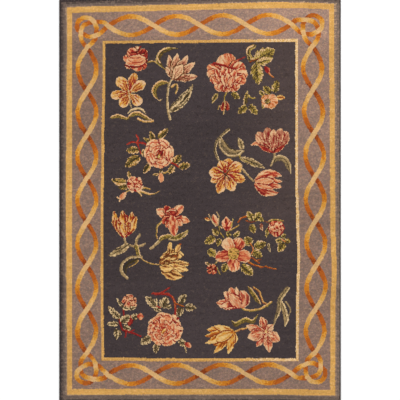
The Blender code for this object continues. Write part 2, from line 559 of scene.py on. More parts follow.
# One corner's pair of bands, in squares from the corner's centre, for the top left corner, and
# the places where each passes over or under. The first band ties a loop and crosses itself.
CORNER_REACH = 21.0
LOOP_BAND = [
    (21, 0), (16.5, -4.5), (12.5, -8), (7, -10), (2, -10.5), (-2, -9), (-5.5, -7), (-9, -4),
    (-10, -0.5), (-9, 4), (-6, 7), (-1.5, 8.5), (3.5, 7.5), (7, 4), (9, 0), (9.5, -4),
    (9, -7.5), (8.5, -11), (7, -14.5), (4.5, -17.5), (0, -21)]
LOOP_PASSES = [(21, 0, UNDER), (8.5, -9.5, OVER), (-5.5, -7, UNDER), (6.5, 4.5, OVER),
               (9, -9, UNDER), (0, -21, OVER)]
PLAIN_BAND = [
    (21, 0), (17, 3.5), (13, 4.2), (7, 4.3), (3.5, 3.7), (-1, 2), (-4.5, -1), (-5.8, -4.5),
    (-6, -7.5), (-6, -10.5), (-5, -15), (-2.5, -18.5), (0, -21)]
PLAIN_PASSES = [(21, 0, OVER), (6.5, 4.5, UNDER), (-5.5, -7, OVER), (0, -21, UNDER)]


def corner_knot(centre, flip_x, flip_y, reach_x, reach_y):
    """The interlaced knot of one corner, mirrored as needed, joined to the twists beside it.

    reach_x and reach_y are how far it runs from its centre to those twists.
    """
    turned = flip_x * flip_y < 0.0
    for band, passes in ((LOOP_BAND, LOOP_PASSES), (PLAIN_BAND, PLAIN_PASSES)):
        line = smooth_line(band, 0.25)
        # Each pass is looked for onwards from the last, since the loop comes by twice.
        marks = []
        first = 0
        for x, y, level in passes:
            gaps = np.hypot(line[first:, 0] - x, line[first:, 1] - y)
            if marks:
                first += int(np.nonzero(gaps < gaps.min() + 1.2)[0][0])
                first += int(np.hypot(line[first:first + 12, 0] - x,
                                      line[first:first + 12, 1] - y).argmin())
            marks.append((first, level))
            first = min(first + 8, len(line) - 2)
        marks[-1] = (len(line) - 1, passes[-1][2])
        placed = line * np.array([flip_x, flip_y]) + np.array(centre)
        stretch_x = np.clip((np.abs(line[:, 0]) - 10.0) / 11.0, 0.0, 1.0)
        stretch_y = np.clip((np.abs(line[:, 1]) - 12.0) / 9.0, 0.0, 1.0)
        placed[:, 0] += flip_x * (reach_x - CORNER_REACH) * stretch_x
        placed[:, 1] -= flip_y * (reach_y - CORNER_REACH) * stretch_y
        for (a, level_a), (b, level_b) in zip(marks[:-1], marks[1:]):
            if b - a > 2:
                ribbon(placed[a:b + 1], 1.0 - level_a if turned else level_a,
                       1.0 - level_b if turned else level_b)


corner_knot((-113, 173.5), 1.0, 1.0, 21.0, 21.3)
corner_knot((112.4, 175.5), -1.0, 1.0, 20.8, 21.9)
corner_knot((-113.4, -175.2), 1.0, -1.0, 20.9, 21.4)
corner_knot((115, -174.2), -1.0, -1.0, 23.4, 20.9)
twist((-113, 152.2), (-113.4, -153.8), 7, True)
twist((112.4, 153.6), (113.2, -153.3), 7, True)
# The top twist is made paler.
twist((-92, 173.5), (91.6, 175.5), 4, False, paler_by=0.16)
twist((-92.5, -175.2), (91.6, -174.2), 4, False)
for area, mask, tone in upper_parts:
    knot(area, mask, RIBBON, tone)
new_flower()

# First spray, top left: a round peony, an open tulip and a golden five-petalled flower.
# Like every spray it is set on the dark ground and shaded with its own few skeins.
stem([(-52.5, 137.5), (-46.5, 138), (-41, 135.5), (-37.5, 132.5), (-33.5, 129)], 1.6, TAN)
stem([(-37, 132), (-41.5, 137.5), (-41.5, 142.5), (-38, 147.5), (-33, 150), (-27, 151),
      (-22.5, 151)], 4.6, GREEN, tone=0.42, taper=0.5, swell=0.35, pointed=True)
stem([(-40, 137), (-42.5, 142.5), (-39.5, 148), (-33.5, 151.5)], 1.4, TAN, tone=0.9)
new_flower()
blot((-63.5, 141), 11.4, 11.4, RED, tone=0.35)
petals((-64, 139), PINK, [(-76.5, 141.5, 9, 0.56), (-61.5, 153, 11, 0.74)], blunt=0.5,
       depth=0.36)
petals((-62, 140), RED, [(-71.5, 150.5, 12, 0.66), (-54, 150, 11, 0.28), (-52.5, 142, 9, 0.10)],
       blunt=0.5, depth=0.36)
petals((-63, 139), PINK, [(-74.5, 132.5, 8, 0.54)], blunt=0.5, depth=0.36)
petals((-61, 138), RED, [(-54.5, 131, 9, 0.30), (-66, 129.5, 14, 0.66)], blunt=0.5, depth=0.36)
petal((-73.5, 138.5), (-54, 140), 11.5, PINK, belly=0.5, blunt=0.42, tone=0.62, fade=0.0,
      depth=0.20, lit=0.14, rim=1.0)
stems(RED, [(1.1, 0.50, (-71.5, 139.5), (-66.5, 137), (-60, 137.5), (-56, 139.5)),
            (1.0, 0.40, (-70, 142.5), (-65, 141), (-59.5, 142)),
            (2.0, 0.12, (-68, 147), (-63, 148), (-59.5, 153)),
            (1.7, 0.15, (-75, 134.5), (-68, 132.5), (-58, 133.5))])

stem([(-28.5, 120), (-31.5, 112.5), (-32.5, 104.5), (-32.5, 93), (-31.5, 87), (-30, 80.5)], 2.0,
     GREY_GREEN, taper=-0.2, tone=0.75)
stem([(-31.5, 116.5), (-38, 117), (-43.5, 113.5), (-46, 107.5), (-43.5, 101.5), (-39.5, 99)],
     4.6, TAN, tone=0.56, taper=0.6, swell=0.4, pointed=True, lit=-0.28)
stem([(-40.5, 99), (-38, 100.5)], 1.3, GREY_GREEN, tone=0.7)
stem([(-28.5, 112.5), (-24, 115), (-22.5, 112), (-24, 106.5)], 2.2, TAN, tone=0.60)
leaf((-31, 88.5), (-8, 113.5), 13.5, DUSTY_GREEN, bend=-0.08, teeth=0, tone=0.58)
stems(GREY_GREEN, [(1.0, 0.12, (-29, 93), (-21, 101.5), (-13.5, 107), (-10, 113)),
                   (1.0, 0.2, (-26, 91.5), (-17, 94.5), (-12.5, 101.5)),
                   (1.6, 0.6, (-11.5, 107.5), (-8.5, 111.5), (-7.5, 115))])
new_flower()
blot((-22.5, 129.5), 7.5, 8, BLUSH, tone=0.20, turn=0.5)
petals((-27.5, 119.5), BLUSH, [
    (-31, 145, 7.5, 0.59), (-22.5, 146.5, 9, 0.61), (-12, 144.5, 9, 0.59),
    (-4.5, 137.5, 8.5, 0.57), (-2, 123.5, 8, 0.53), (-34, 133, 5.5, 0.62),
    (-25.5, 133, 6.5, 0.69)], blunt=0.95, belly=0.56, depth=0.26, veins=1.3, fade=0.45, rim=0.9)
petals((-27.5, 119.5), BLUSH, [(-17.5, 135, 9.5, 0.76)], blunt=0.9, belly=0.56, depth=0.20,
       veins=1.0, fade=0.35, rim=0.9, parting=1.3)

stem([(-71, 104), (-70, 96), (-69, 92)], 1.5, GREY_GREEN, tone=0.6)
stem([(-88, 82), (-82, 83.5), (-76.5, 81.5), (-72.5, 81)], 3.6, TAN, swell=0.2, tone=0.66)
stem([(-72, 86.5), (-67.5, 90), (-62.5, 91), (-57.5, 89.5), (-54, 85.5)], 2.6, GREY_GREEN,
     tone=0.85, pointed=True)
stem([(-73, 81), (-67.5, 85), (-62, 86), (-56, 83), (-51.5, 80.5), (-47.5, 79.5)], 4.4, TAN,
     tone=0.60, pointed=True)
stem([(-62, 81), (-55.5, 78), (-47, 78.5)], 2.2, TAN, tone=0.72)
new_flower()
petals((-71, 106.5), FLAME, [
    (-65, 127, 9, 0.42), (-82.5, 122, 12, 0.68), (-55, 117.5, 10.5, 0.66),
    (-89.5, 103.5, 10, 0.64), (-78.5, 92.5, 11, 0.64), (-58.5, 95, 11, 0.64)],
    belly=0.66, blunt=0.60, veins=2.0, depth=0.20, fade=0.55, rim=1.0, ruffle=0.14)
stem([(-71.5, 109.5), (-70.5, 103), (-70, 99)], 1.3, GREY_GREEN, tone=0.85)

# Second spray, top right: a full pink rose with its buds, a veined leaf and a small peach rose.
stem([(36.5, 138.5), (41, 140.5), (45, 142.5)], 1.6, TWIG)
stem([(53.5, 153), (49.5, 150.5), (48.5, 146), (50.5, 142), (54, 139)], 4.6, GREEN, tone=0.40,
     taper=0.3)
stem([(53.5, 154), (48, 151), (47, 146), (50, 141.5), (54.5, 139)], 1.6, TAN, tone=0.9)
leaf((50.5, 137.5), (47.5, 145.5), 4.6, GREEN, teeth=0, tone=0.35)
leaf((54.5, 137.5), (74.5, 150.5), 18.5, YELLOW_GREEN, teeth=4, tone=0.62)
leaf((57, 137), (72, 140), 9.5, YELLOW_GREEN, teeth=2, tone=0.84)
leaf((55.5, 136.5), (59, 115), 14.5, YELLOW_GREEN, teeth=4, tone=0.62)
stem([(50, 137.5), (54.5, 139), (58.5, 140.5)], 1.4, RUST_TWIG, tone=0.3)
petal((64, 134), (69.5, 126), 5.4, RED, tone=0.42, rim=0.0, depth=0.2)
stem([(69, 126.5), (71.5, 124), (73.5, 122.5)], 1.6, RUST_TWIG, tone=0.80)
stem([(27, 108), (25, 103.5), (24.5, 97.5), (23.5, 85.5)], 1.5, YELLOW_GREEN, tone=0.5)
leaves(YELLOW_GREEN, [(17.5, 106.5, 12, 96.5, 5), (31.5, 107, 40, 101, 7.5),
                      (44.5, 94, 47.5, 109, 5), (46.5, 93.5, 38, 86, 8.5),
                      (49.5, 94.5, 57.5, 85.5, 8.5), (74, 107, 77.5, 119.5, 9),
                      (70.5, 106, 63.5, 113.5, 8.5), (64.5, 103.5, 59.5, 109, 5.5),
                      (65, 97.5, 62.5, 91, 5)], tone=0.50)
stem([(48, 104.5), (51.5, 101.5), (55.5, 101.5)], 1.8, YELLOW_GREEN, tone=0.6)
leaf((76.5, 102), (85, 102), 5.8, AMBER, tone=0.75)
new_flower()
petals((25, 99.5), RED, [(28, 89, 5.4, 0.50), (22, 88.5, 5.4, 0.52)])
stem([(24.5, 99), (24.5, 93), (23.5, 86)], 1.1, YELLOW_GREEN, tone=0.8)
stem([(19.5, 94), (18, 90)], 1.3, TAN)
new_flower()
blot((27, 124), 17, 14, PINK, tone=0.25)
petal((30, 126), (23.5, 145.5), 21, PINK, belly=0.62, blunt=0.42, tone=0.68, fade=0.1, depth=0.30)
petals((33, 125), RED, [(37, 139, 11, 0.50)], blunt=0.5)
petals((33, 124), PINK, [(43.5, 136.5, 13, 0.56), (47.5, 127, 14, 0.56), (45.5, 117, 11, 0.36)],
       blunt=0.5, depth=0.34)
petals((24, 123), PINK, [(8, 134, 12, 0.63), (7, 126.5, 10, 0.60), (9.5, 119.5, 10, 0.56)],
       blunt=0.5, depth=0.34)
stem([(14, 136), (19, 135), (25, 133.5), (31, 131.5), (35.5, 130.5)], 2.4, RED, taper=0.1,
     tone=0.30)
petals((27, 109), PINK, [
    (12, 122.5, 8, 0.57), (16, 131, 8, 0.59), (22.5, 132.5, 8, 0.57), (29, 131.5, 8.5, 0.60),
    (35.5, 129.5, 8.5, 0.55), (41, 123.5, 8.5, 0.50), (14, 113.5, 8, 0.56), (40, 114.5, 8.5, 0.50)],
    blunt=0.6, fade=0.3, rim=0.8, depth=0.42, veins=1.0)
petals((27, 120), PINK, [
    (19.5, 109.5, 8, 0.5), (34.5, 109, 8.5, 0.46), (27, 107, 9, 0.52)], blunt=0.5, depth=0.38)
petals((27.5, 110), PINK, [(22, 124.5, 6, 0.56), (28, 126, 6, 0.56), (33.5, 123, 6, 0.50)],
       blunt=0.6, depth=0.38)
new_flower()
blot((69.5, 98), 8, 6.8, PEACH, tone=0.7, speckle=0.3)
petals((69.5, 97.5), PEACH, [(62, 101.5, 7, 0.42), (68, 105, 9, 0.42), (75, 104.5, 9, 0.52),
                             (78, 97.5, 8, 0.50), (74, 91.5, 8, 0.36)], blunt=0.45, depth=0.4)
petal((64.5, 96), (70, 99.5), 3.6, GREEN, tone=0.35, rim=0.3)
stems(RUST_TWIG, [(1.5, 0.85, (62, 101), (64.5, 104), (69, 103.5)),
                  (1.7, 0.85, (70.5, 92.5), (75, 93))])

# Third spray: a big ruffled rose with red twigs, and a small rose on its leaves.
stems(TWIG, [(2.1, 0.6, (-50.5, 53), (-56, 56), (-63, 57), (-68, 57.5), (-73, 55)),
             (2.0, 0.65, (-63.5, 56.5), (-61.5, 60.5), (-63.5, 64.5)),
             (1.6, 0.6, (-62.5, 56), (-61, 51.5), (-59.5, 46))])
leaves(TAN, [(-46, 58, -50, 68.5, 8), (-42, 61, -32, 71, 9.5), (-48.5, 57, -56.5, 61.5, 6),
             (-50, 35.5, -56, 26.5, 8.5)], tone=0.42, teeth=0)
leaves(TAN, [(-61, 49.5, -74, 49, 9), (-60.5, 43, -75, 33, 12), (-56.5, 43, -57, 50.5, 5),
             (-26, 36, -19.5, 45, 9), (-26.5, 33.5, -31, 25.5, 8)], tone=0.52)
leaf((-21.5, 32.5), (-9.5, 35), 8.5, TAN, tone=0.5)
stem([(-28.5, 37), (-25, 35), (-21.5, 32.5)], 2.3, TWIG, tone=0.6)
leaf((-41.5, 25), (-47.5, 25), 4.0, TAN, teeth=0)
stem([(-38.5, 28.5), (-35.5, 26.5), (-32, 28.5)], 2.0, TAN)
leaf((-38, 30), (-41, 24), 4.4, GREEN, teeth=0)
petal((-39, 27), (-39, 17), 6.2, PEACH, belly=0.5, tone=0.56, fade=0.1, depth=0.2, rim=0.4)
new_flower()
bloom((-40.5, 45.5), 15, PINK, [(1.0, 7, 0.86), (0.74, 5, 0.80), (0.48, 4, 0.66),
                                  (0.26, 2, 0.40)], turn=0.2, fade=0.20, tone=0.74, rim=1.0,
      depth=0.16, folds=1.5)
petal((-43, 40), (-38, 49), 3.2, RED, tone=0.10, rim=0.0)
blot((-41, 43), 1.1, 2.2, YELLOW_GREEN, tone=0.72, turn=-0.4)
blot((-42, 40.5), 1.4, 1.0, RED, tone=0.3)
new_flower()
leaf((-73.5, 17.5), (-88.5, 20), 10.5, TAN, bend=0.08, teeth=0, tone=0.55)
leaf((-70, 20.5), (-72, 29), 5, TAN, teeth=0)
leaf((-72, 13), (-81.5, 12), 7.5, TAN, teeth=2, tone=0.40)
stem([(-70.5, 9), (-73.5, 7.5)], 1.5, TAN)
petal((-73.5, 7.5), (-80.5, -0.5), 5.4, PEACH, belly=0.5, tone=0.46, fade=0.1, depth=0.3, rim=0.4)
stem([(-82.5, 2), (-80, 0.5), (-80.5, -2)], 1.5, TAN, tone=0.85)
stem([(-61, 9.5), (-56, 7), (-50, 5.5), (-45, 6), (-41, 8.5)], 2.6, TAN, taper=0.7, tone=0.7)
stems(TAN, [(2.4, 0.6, (-59, 11), (-54, 11.5), (-50, 10.5)),
            (1.8, 0.75, (-62, 8.5), (-60, 6), (-58.5, 4))])
new_flower()
bloom((-65, 15.5), 8, PINK, [(1.0, 4, 1.2), (0.58, 3, 1.0)], turn=0.6, fade=0.15,
      tone=0.78, rim=0.8, depth=0.14, folds=0.9)
stems(TWIG, [(1.2, 0.6, (-71.5, 19), (-72, 14), (-69, 9.5), (-63.5, 8)),
             (1.1, 0.6, (-64.5, 20.5), (-61, 18.5), (-60.5, 16)),
             (1.0, 0.6, (-63.5, 13.5), (-60.5, 12), (-58, 14.5))])

# Fourth spray: a wide pink tulip, a golden flower and a coral tulip lying on its side.
stem([(28.5, 70), (21.5, 64), (16.5, 57.5), (15, 49.5), (18, 39.5)], 2.8, GREY_GREEN, tone=0.62,
     taper=0.1)
stem([(20, 63), (21.5, 56), (26.5, 49.5), (33, 46), (44, 48.5)], 6.6, GREY_GREEN, taper=0.1,
     swell=0.35, tone=0.46, pointed=True)
stems(GREY_GREEN, [(1.8, 0.78, (19.5, 60), (20.5, 52), (26, 45.5), (32, 43.5), (38.5, 44.5),
                    (44, 48.5)),
                   (1.2, 0.05, (24, 58.5), (29.5, 52), (35.5, 49.5))], taper=0.0)
leaf((42, 49.5), (38, 62), 9, GREY_GREEN, bend=-0.06, teeth=0, tone=0.66)
stem([(39.5, 44), (40, 41.5), (42, 39)], 1.9, YELLOW_GREEN, tone=0.5)
leaf((40, 41.5), (65, 31), 8, GREY_GREEN, bend=0.03, teeth=3, tone=0.56)
stem([(41, 40.5), (48, 37.5), (54, 34)], 1.2, GREEN, tone=0.6)
stem([(74.5, 48), (74, 41), (71, 34)], 2.4, GREY_GREEN, taper=0.3, tone=0.62)
stem([(73, 37), (77, 41), (82.5, 41), (87, 36.5), (91, 26)], 5.4, GREY_GREEN, taper=0.3,
     swell=0.3, tone=0.58, pointed=True)
new_flower()
blot((74, 58), 9.5, 9.5, DUSKY, tone=0.25)
petal((74, 48), (50, 54.5), 5.4, PINK, bend=-0.18, blunt=0.9, tone=0.55)
petals((74, 47), DUSKY, [
    (56.5, 67, 12.5, 0.50), (87.5, 68, 13.5, 0.48), (66.5, 72, 11.5, 0.48),
    (81, 71, 10.5, 0.50), (73.5, 70, 10, 0.60)], belly=0.64, blunt=0.66, depth=0.30, veins=1.2)
petals((73.5, 46.5), RED, [(58.5, 54, 5, 0.42), (84.5, 54, 5, 0.42)], belly=0.5, rim=0.4)
new_flower()
stem([(42, 31), (46, 26), (53.5, 18.5)], 2.2, GREY_GREEN, tone=0.62)
new_flower()
blot((26, 25), 9, 8, FLAME, tone=0.3)
petals((26, 26), FLAME, [
    (11, 17.5, 9, 0.50), (30, 41, 13, 0.56), (42, 35.5, 13, 0.60), (19.5, 38.5, 11, 0.58),
    (9, 27, 12, 0.54), (45, 19, 10.5, 0.56), (18, 6, 10, 0.70), (33.5, 8, 11, 0.78)],
    belly=0.64, blunt=0.7, veins=1.8, depth=0.26, rim=0.9, ruffle=0.16, fade=0.5)
for tip in ((20.5, 28.5), (24, 20), (29.5, 20), (30, 30)):
    stem([(25.5, 25.5), tip], 1.4, STAMEN, tone=0.4)
new_flower()
blot((66, 17), 11.4, 8.6, PINK, tone=0.25)
petal((54.5, 18.5), (82, 23.5), 9.5, PINK, bend=0.16, belly=0.5, tone=0.42, depth=0.44, rim=0.5)
petals((55, 17.5), PINK, [(82.5, 18.5, 6.5, 0.40), (82, 12.5, 7, 0.54)], blunt=0.8, depth=0.40)
petal((54, 16), (78.5, 7), 9, PINK, bend=-0.14, belly=0.5, tone=0.56, depth=0.44)
petal((54.5, 17.5), (74, 18.5), 7.5, PINK, belly=0.5, blunt=0.6, tone=0.72, fade=0.0, depth=0.16,
      parting=1.3)
petal((55, 15), (73.5, 10.5), 4.6, PINK, belly=0.5, blunt=0.6, tone=0.55, fade=0.0)

# Fifth spray: a striped gold tulip, a pink trumpet flower and a ruffled yellow tulip.
stems(GREY_GREEN, [(2.2, 0.6, (-76, -37.5), (-75, -41.5), (-74, -45)),
                   (2.6, 0.58, (-74.5, -44.5), (-69, -46), (-64, -47.5), (-60, -46.5), (-55, -44))])
stem([(-64, -47), (-63.5, -41), (-60, -35)], 2.7, GREY_GREEN, tone=0.56, taper=0.1)
stem([(-63.5, -47), (-62.5, -51.5), (-61.5, -56.5)], 4.6, GREEN, taper=0.2, tone=0.58)
leaf((-71, -44.5), (-92, -56), 10, GREY_GREEN, bend=0.06, teeth=0, tone=0.50)
stem([(-60.5, -58), (-68, -60.5), (-73.5, -64), (-75.5, -69), (-74, -75)], 6.0, SHADE_GREEN,
     taper=0.2, tone=0.35, pointed=True)
stem([(-58.5, -57), (-65, -57.5), (-71, -58.5), (-77, -63.5), (-79, -69.5), (-77, -74.5),
      (-73, -78.5)], 2.2, GREY_GREEN, tone=0.64, taper=-0.35)
stems(TAN, [(1.4, 0.6, (-62, -61.5), (-66, -65), (-71, -67.5)),
            (1.5, 0.6, (-59, -58.5), (-53.5, -62.5), (-47, -64.5), (-40, -65))])
new_flower()
blot((-76, -25.5), 7, 11, STRIPED, tone=0.2)
petals((-75.5, -38.5), STRIPED, [
    (-85.5, -11.5, 7.5, 0.51), (-84, -18, 6, 0.42)], belly=0.56, blunt=0.7, bend=0.10,
    depth=0.52, fade=0.25, rim=0.6)
petals((-75, -38), STRIPED, [
    (-68.5, -12, 7.5, 0.50), (-64, -16.5, 6.5, 0.51)], belly=0.56, blunt=0.7, bend=-0.09,
    depth=0.52, fade=0.25, rim=0.6)
petals((-75.5, -38), STRIPED, [
    (-77.5, -10.5, 8, 0.50), (-72, -22, 6, 0.44), (-82, -22, 6, 0.46), (-77.5, -23, 7, 0.78)],
    belly=0.58, blunt=0.7, depth=0.52, fade=0.25, rim=0.6)
new_flower()
stem([(-38.5, -22), (-42, -25.5), (-43.5, -30), (-43, -39)], 1.8, TAN, tone=0.55)
stem([(-49, -49), (-44, -45), (-38.5, -39.5)], 2.2, GREY_GREEN, taper=-0.3, tone=0.66)
stem([(-41, -41), (-37, -38), (-31.5, -37), (-26, -39)], 4.8, GREEN, taper=0.1, tone=0.56,
     pointed=True)
leaf((-30, -39), (-11, -29.5), 7.6, GREEN, bend=-0.14, teeth=0, tone=0.34)
stem([(-31, -40), (-24, -41), (-18, -38), (-13.5, -32.5)], 1.4, GREY_GREEN, tone=0.66)
new_flower()
blot((-29, -18), 8, 8, PINK, tone=0.25)
petals((-28.5, -17.5), PINK, [(-44, -10, 10, 0.70), (-17, -6, 9, 0.57)], ruffle=0.16,
       depth=0.40)
petals((-29, -16.5), RED, [(-35, -6.5, 8, 0.50), (-26, -8.5, 8, 0.45)])
petals((-27, -18), PINK, [(-10, -22, 8.5, 0.52), (-17.5, -26.5, 7.5, 0.54)], blunt=0.95,
       depth=0.40)
petals((-28, -16.5), RED, [(-38, -24, 8, 0.5), (-34, -28, 7, 0.52)])
petal((-28, -13.5), (-26, -37), 11.5, PINK, belly=0.55, blunt=0.8, tone=0.52, fade=0.3,
      depth=0.34)
for tip in ((-35, -15.5), (-31, -11), (-22, -12.5), (-18.5, -17)):
    stem([(-28, -15.5), tip], 1.4, RED, tone=0.2)
stem([(-33, -12), (-29, -10.5), (-25, -11)], 1.2, PINK, tone=0.95)
new_flower()
blot((-29.5, -63), 9, 9, GOLD, tone=0.3, turn=0.4)
petal((-40.5, -63.5), (-15.5, -56), 13.5, GOLD, bend=0.13, belly=0.5, tone=0.54, depth=0.55,
      fade=0.15, veins=1.2)
petal((-30.5, -54.5), (-30, -42.5), 4.6, GOLD, belly=0.6, blunt=0.45, tone=0.66, fade=0.1)
petal((-25, -55), (-20, -44.5), 5.0, GOLD, belly=0.6, blunt=0.6, tone=0.64, fade=0.1)
blot((-30.5, -51.5), 0.9, 2.4, GOLD, tone=0.02)
blot((-20, -44.5), 1.3, 0.9, AMBER, tone=0.2)
petals((-39.5, -65), GOLD, [(-10.5, -64.5, 8.5, 0.50), (-12, -71, 8.5, 0.44)], belly=0.6,
       blunt=0.8, depth=0.55, fade=0.25)
petals((-40, -66.5), GOLD, [(-17, -77, 11.5, 0.48), (-27, -68.5, 8, 0.62)], bend=-0.10,
       belly=0.5, depth=0.55, fade=0.2)
stems(GOLD, [(1.2, 0.02, (-40.5, -64.5), (-33, -62.5), (-25, -63.5), (-18, -62.5)),
             (1.2, 0.08, (-36, -57), (-30, -53.5), (-22, -53), (-17, -57)),
             (1.1, 0.12, (-37.5, -59.5), (-30, -57), (-22, -58.5))])

# Sixth spray: an open dog rose with a gold eye, two buds, and a rosebud on a leafy twig.
stems(RUST_TWIG, [(1.8, 0.60, (38.5, -22.5), (41.5, -18.5), (46.5, -17)),
                  (1.1, 0.35, (46, -21), (52, -22.5), (58, -20.5), (64, -21.5), (69, -24))])
leaves(YELLOW_GREEN, [
    (53.5, -21, 47, -12, 9), (54.5, -21, 60.5, -13, 9.5), (58, -17, 63.5, -22, 6),
    (50.5, -25, 55, -33.5, 8.5), (68.5, -28.5, 66, -38, 5)], tone=0.55, teeth=2)
leaf((60.5, -24), (63, -31.5), 4.6, BLUSH, teeth=0, tone=0.6)
leaves(YELLOW_GREEN, [(82, -38, 85.5, -34.5, 5), (84, -41.5, 90.5, -41.5, 6.4),
                      (82.5, -41, 75.5, -41.5, 6), (84, -43, 78.5, -52.5, 9)], teeth=2, tone=0.55)
stem([(82.5, -40), (85.5, -42)], 1.8, RUST_TWIG, tone=0.85)
new_flower()
blot((76.5, -28.5), 8.2, 8.2, RED, tone=0.35)
petals((75.5, -28), PINK, [(69, -26, 7.5, 0.43), (74, -21, 8.5, 0.28), (83, -24, 9, 0.24),
                           (83.5, -30.5, 7.5, 0.22), (77, -37.5, 10, 0.34), (70, -32, 7, 0.4)],
       blunt=0.6, depth=0.44, rim=0.5)
petals((79, -31.5), PINK, [(70.5, -27.5, 6, 0.62), (76, -23.5, 6, 0.5)], blunt=0.5, depth=0.34)
stem([(69, -22), (75, -20.5), (83, -21.5)], 2.2, TAN, tone=0.45)
new_flower()
leaf((9.5, -20.5), (4.5, -18.5), 4.2, AMBER, teeth=0, tone=0.72)
petal((17, -27), (13, -14.5), 7, PINK, belly=0.5, tone=0.36, depth=0.42)
stems(GREY_GREEN, [(1.6, 0.75, (16, -26.5), (11.5, -20.5), (9, -14.5)),
                   (1.5, 0.65, (18, -25.5), (19, -18.5), (17, -12.5))])
petal((27, -32), (26, -17), 9.5, PINK, belly=0.5, tone=0.42, depth=0.38)
petal((28.5, -31.5), (31, -21), 4.6, PINK, belly=0.5, tone=0.50)
blot((25.5, -21.5), 1.1, 2.2, RED, tone=0.15)
blot((27, -28.5), 2.6, 1.4, RED, tone=0.4)
stem([(29.5, -31.5), (33.5, -29), (38.5, -26)], 1.6, TAN, tone=0.5)
stems(YELLOW_GREEN, [(1.5, 0.6, (31, -26.5), (32.5, -22.5), (33, -19.5)),
                     (1.4, 0.8, (22, -28.5), (20, -27))])
leaves(YELLOW_GREEN, [
    (34, -37.5, 39.5, -31.5, 6), (29.5, -38, 27, -32, 5.6), (18.5, -35.5, 12, -29.5, 7.5),
    (15, -38, 4.5, -44, 10), (20, -39, 17.5, -46.5, 7), (8.5, -50, 16, -57.5, 9.5),
    (27, -64, 22.5, -73, 8.5), (41.5, -65.5, 53, -75.5, 11), (50.5, -46.5, 46, -36.5, 10.5),
    (54.5, -48, 66, -43, 10.5), (51.5, -51.5, 62.5, -57.5, 9.5)], tone=0.55)
leaf((68, -43.5), (70, -52.5), 4.6, GREY_GREEN, teeth=0, tone=0.75)
stem([(19, -27.5), (20, -33), (23.5, -38)], 1.6, TAN, tone=0.3)
stems(RUST_TWIG, [(1.4, 0.8, (50.5, -44), (53, -49), (51.5, -54)),
                  (1.6, 0.40, (51, -58), (56.5, -61), (60.5, -60)),
                  (1.5, 0.55, (55, -61), (59.5, -64))])
stem([(48.5, -62.5), (55, -66), (62, -67.5), (67, -67), (71, -69), (75.5, -69.5)], 2.0, RUST_TWIG,
     tone=0.52, taper=0.4)
leaf((11, -66), (4.5, -62.5), 4.0, TAN, teeth=0, tone=0.6)
stem([(13, -66), (16, -63.5), (19, -60.5)], 1.2, TAN)
stem([(16.5, -67.5), (18.5, -72), (20.5, -74.5)], 1.3, GREEN, tone=0.6)
new_flower()
bloom((12, -69.5), 5.2, RED, [(1.0, 5, 1.0), (0.55, 3, 0.7)], tone=0.55, rim=0.5, depth=0.34)
new_flower()
blot((33, -55), 10, 10, RED, tone=0.2)
petals((33.5, -54), PINK, [(41.5, -39, 14, 0.42), (15.5, -58.5, 12.5, 0.40),
                           (34, -72.5, 13, 0.46)],
       belly=0.64, blunt=0.5, depth=0.42, fade=0.68, rim=0.8)
petals((33.5, -54), PINK, [(50.5, -58.5, 14, 0.44), (25, -39, 13, 0.80)],
       belly=0.66, blunt=0.45, depth=0.28, fade=0.62, rim=1.0)
blot((33.5, -54), 5.8, 6.2, GOLD_EYE, tone=0.5, speckle=0.7)

# Seventh spray: a many-petalled peony with red twigs and leaves, and a small red rose.
leaf((-77.5, -108), (-83.5, -99), 4.2, DUSTY_GREEN, teeth=0, tone=0.7)
stems(TWIG, [(1.9, 0.4, (-76.5, -110.5), (-76, -116)),
             (2.2, 0.35, (-81, -118.5), (-79.5, -124.5), (-77.5, -130), (-74, -133.5))])
leaves(DUSTY_GREEN, [(-80, -119.5, -92, -107, 8), (-81.5, -124.5, -93, -124.5, 6.5),
                     (-84, -129, -83, -140, 6), (-80, -130, -81, -137, 4)],
       teeth=4, tone=0.74)
new_flower()
petal((-71, -127), (-69.5, -116), 7.6, RED, tone=0.30, rim=0.0)
leaves(DUSTY_GREEN, [(-79, -123, -70, -116, 9.4), (-77, -127, -69, -130, 6.4),
                    (-68.5, -118.5, -61, -116, 7)], teeth=3, tone=0.60)
petal((-63.5, -117.5), (-56.5, -117), 7, RED, belly=0.6, tone=0.60, rim=0.3)
stems(TWIG, [(2.2, 0.4, (-76.5, -131), (-70.5, -132.5), (-66, -134), (-59.5, -137)),
             (2.1, 0.4, (-74, -133), (-74.5, -137.5)),
             (1.7, 0.4, (-70.5, -133), (-66, -130.5))])
leaves(DUSTY_GREEN, [(-44, -107.5, -54.5, -97, 9.5), (-38, -108.5, -33.5, -97.5, 11.5),
                    (-33, -108.5, -28.5, -106, 4.8), (-46, -109, -38.5, -112, 5.4)],
       teeth=4, tone=0.60)
stem([(-43.5, -107.5), (-43, -103.5), (-43.5, -99.5)], 1.6, DUSTY_GREEN, tone=0.8)
stems(TWIG, [(1.5, 0.8, (-43.5, -107), (-39.5, -108)),
             (2.0, 0.55, (-47.5, -94), (-41, -94), (-36, -91.5), (-30.5, -88))])
stem([(-44.5, -94.5), (-33, -94.5), (-28.5, -97), (-25.5, -102.5), (-24.5, -109),
      (-25, -117)], 2.2, TWIG, taper=0.0, tone=0.56)
stems(RUST_TWIG, [(0.9, 0.8, (-28, -97), (-25.5, -102.5), (-25, -108)),
                  (1.7, 0.5, (-25.5, -103), (-19.5, -106), (-16.5, -107))])
leaves(DUSTY_GREEN, [(-21, -104, -14, -94.5, 8.8), (-15, -107.5, -4, -108.5, 9.2),
                    (-18.5, -108, -22, -117, 8.6), (-48.5, -137.5, -59.5, -144.5, 10.4),
                    (-43.5, -144, -44.5, -154.5, 7.6), (-21, -140.5, -13.5, -147, 7.6)],
       teeth=4, tone=0.56)
petal((-16, -142.5), (-9, -147.5), 6.0, RED, tone=0.55, rim=0.3)
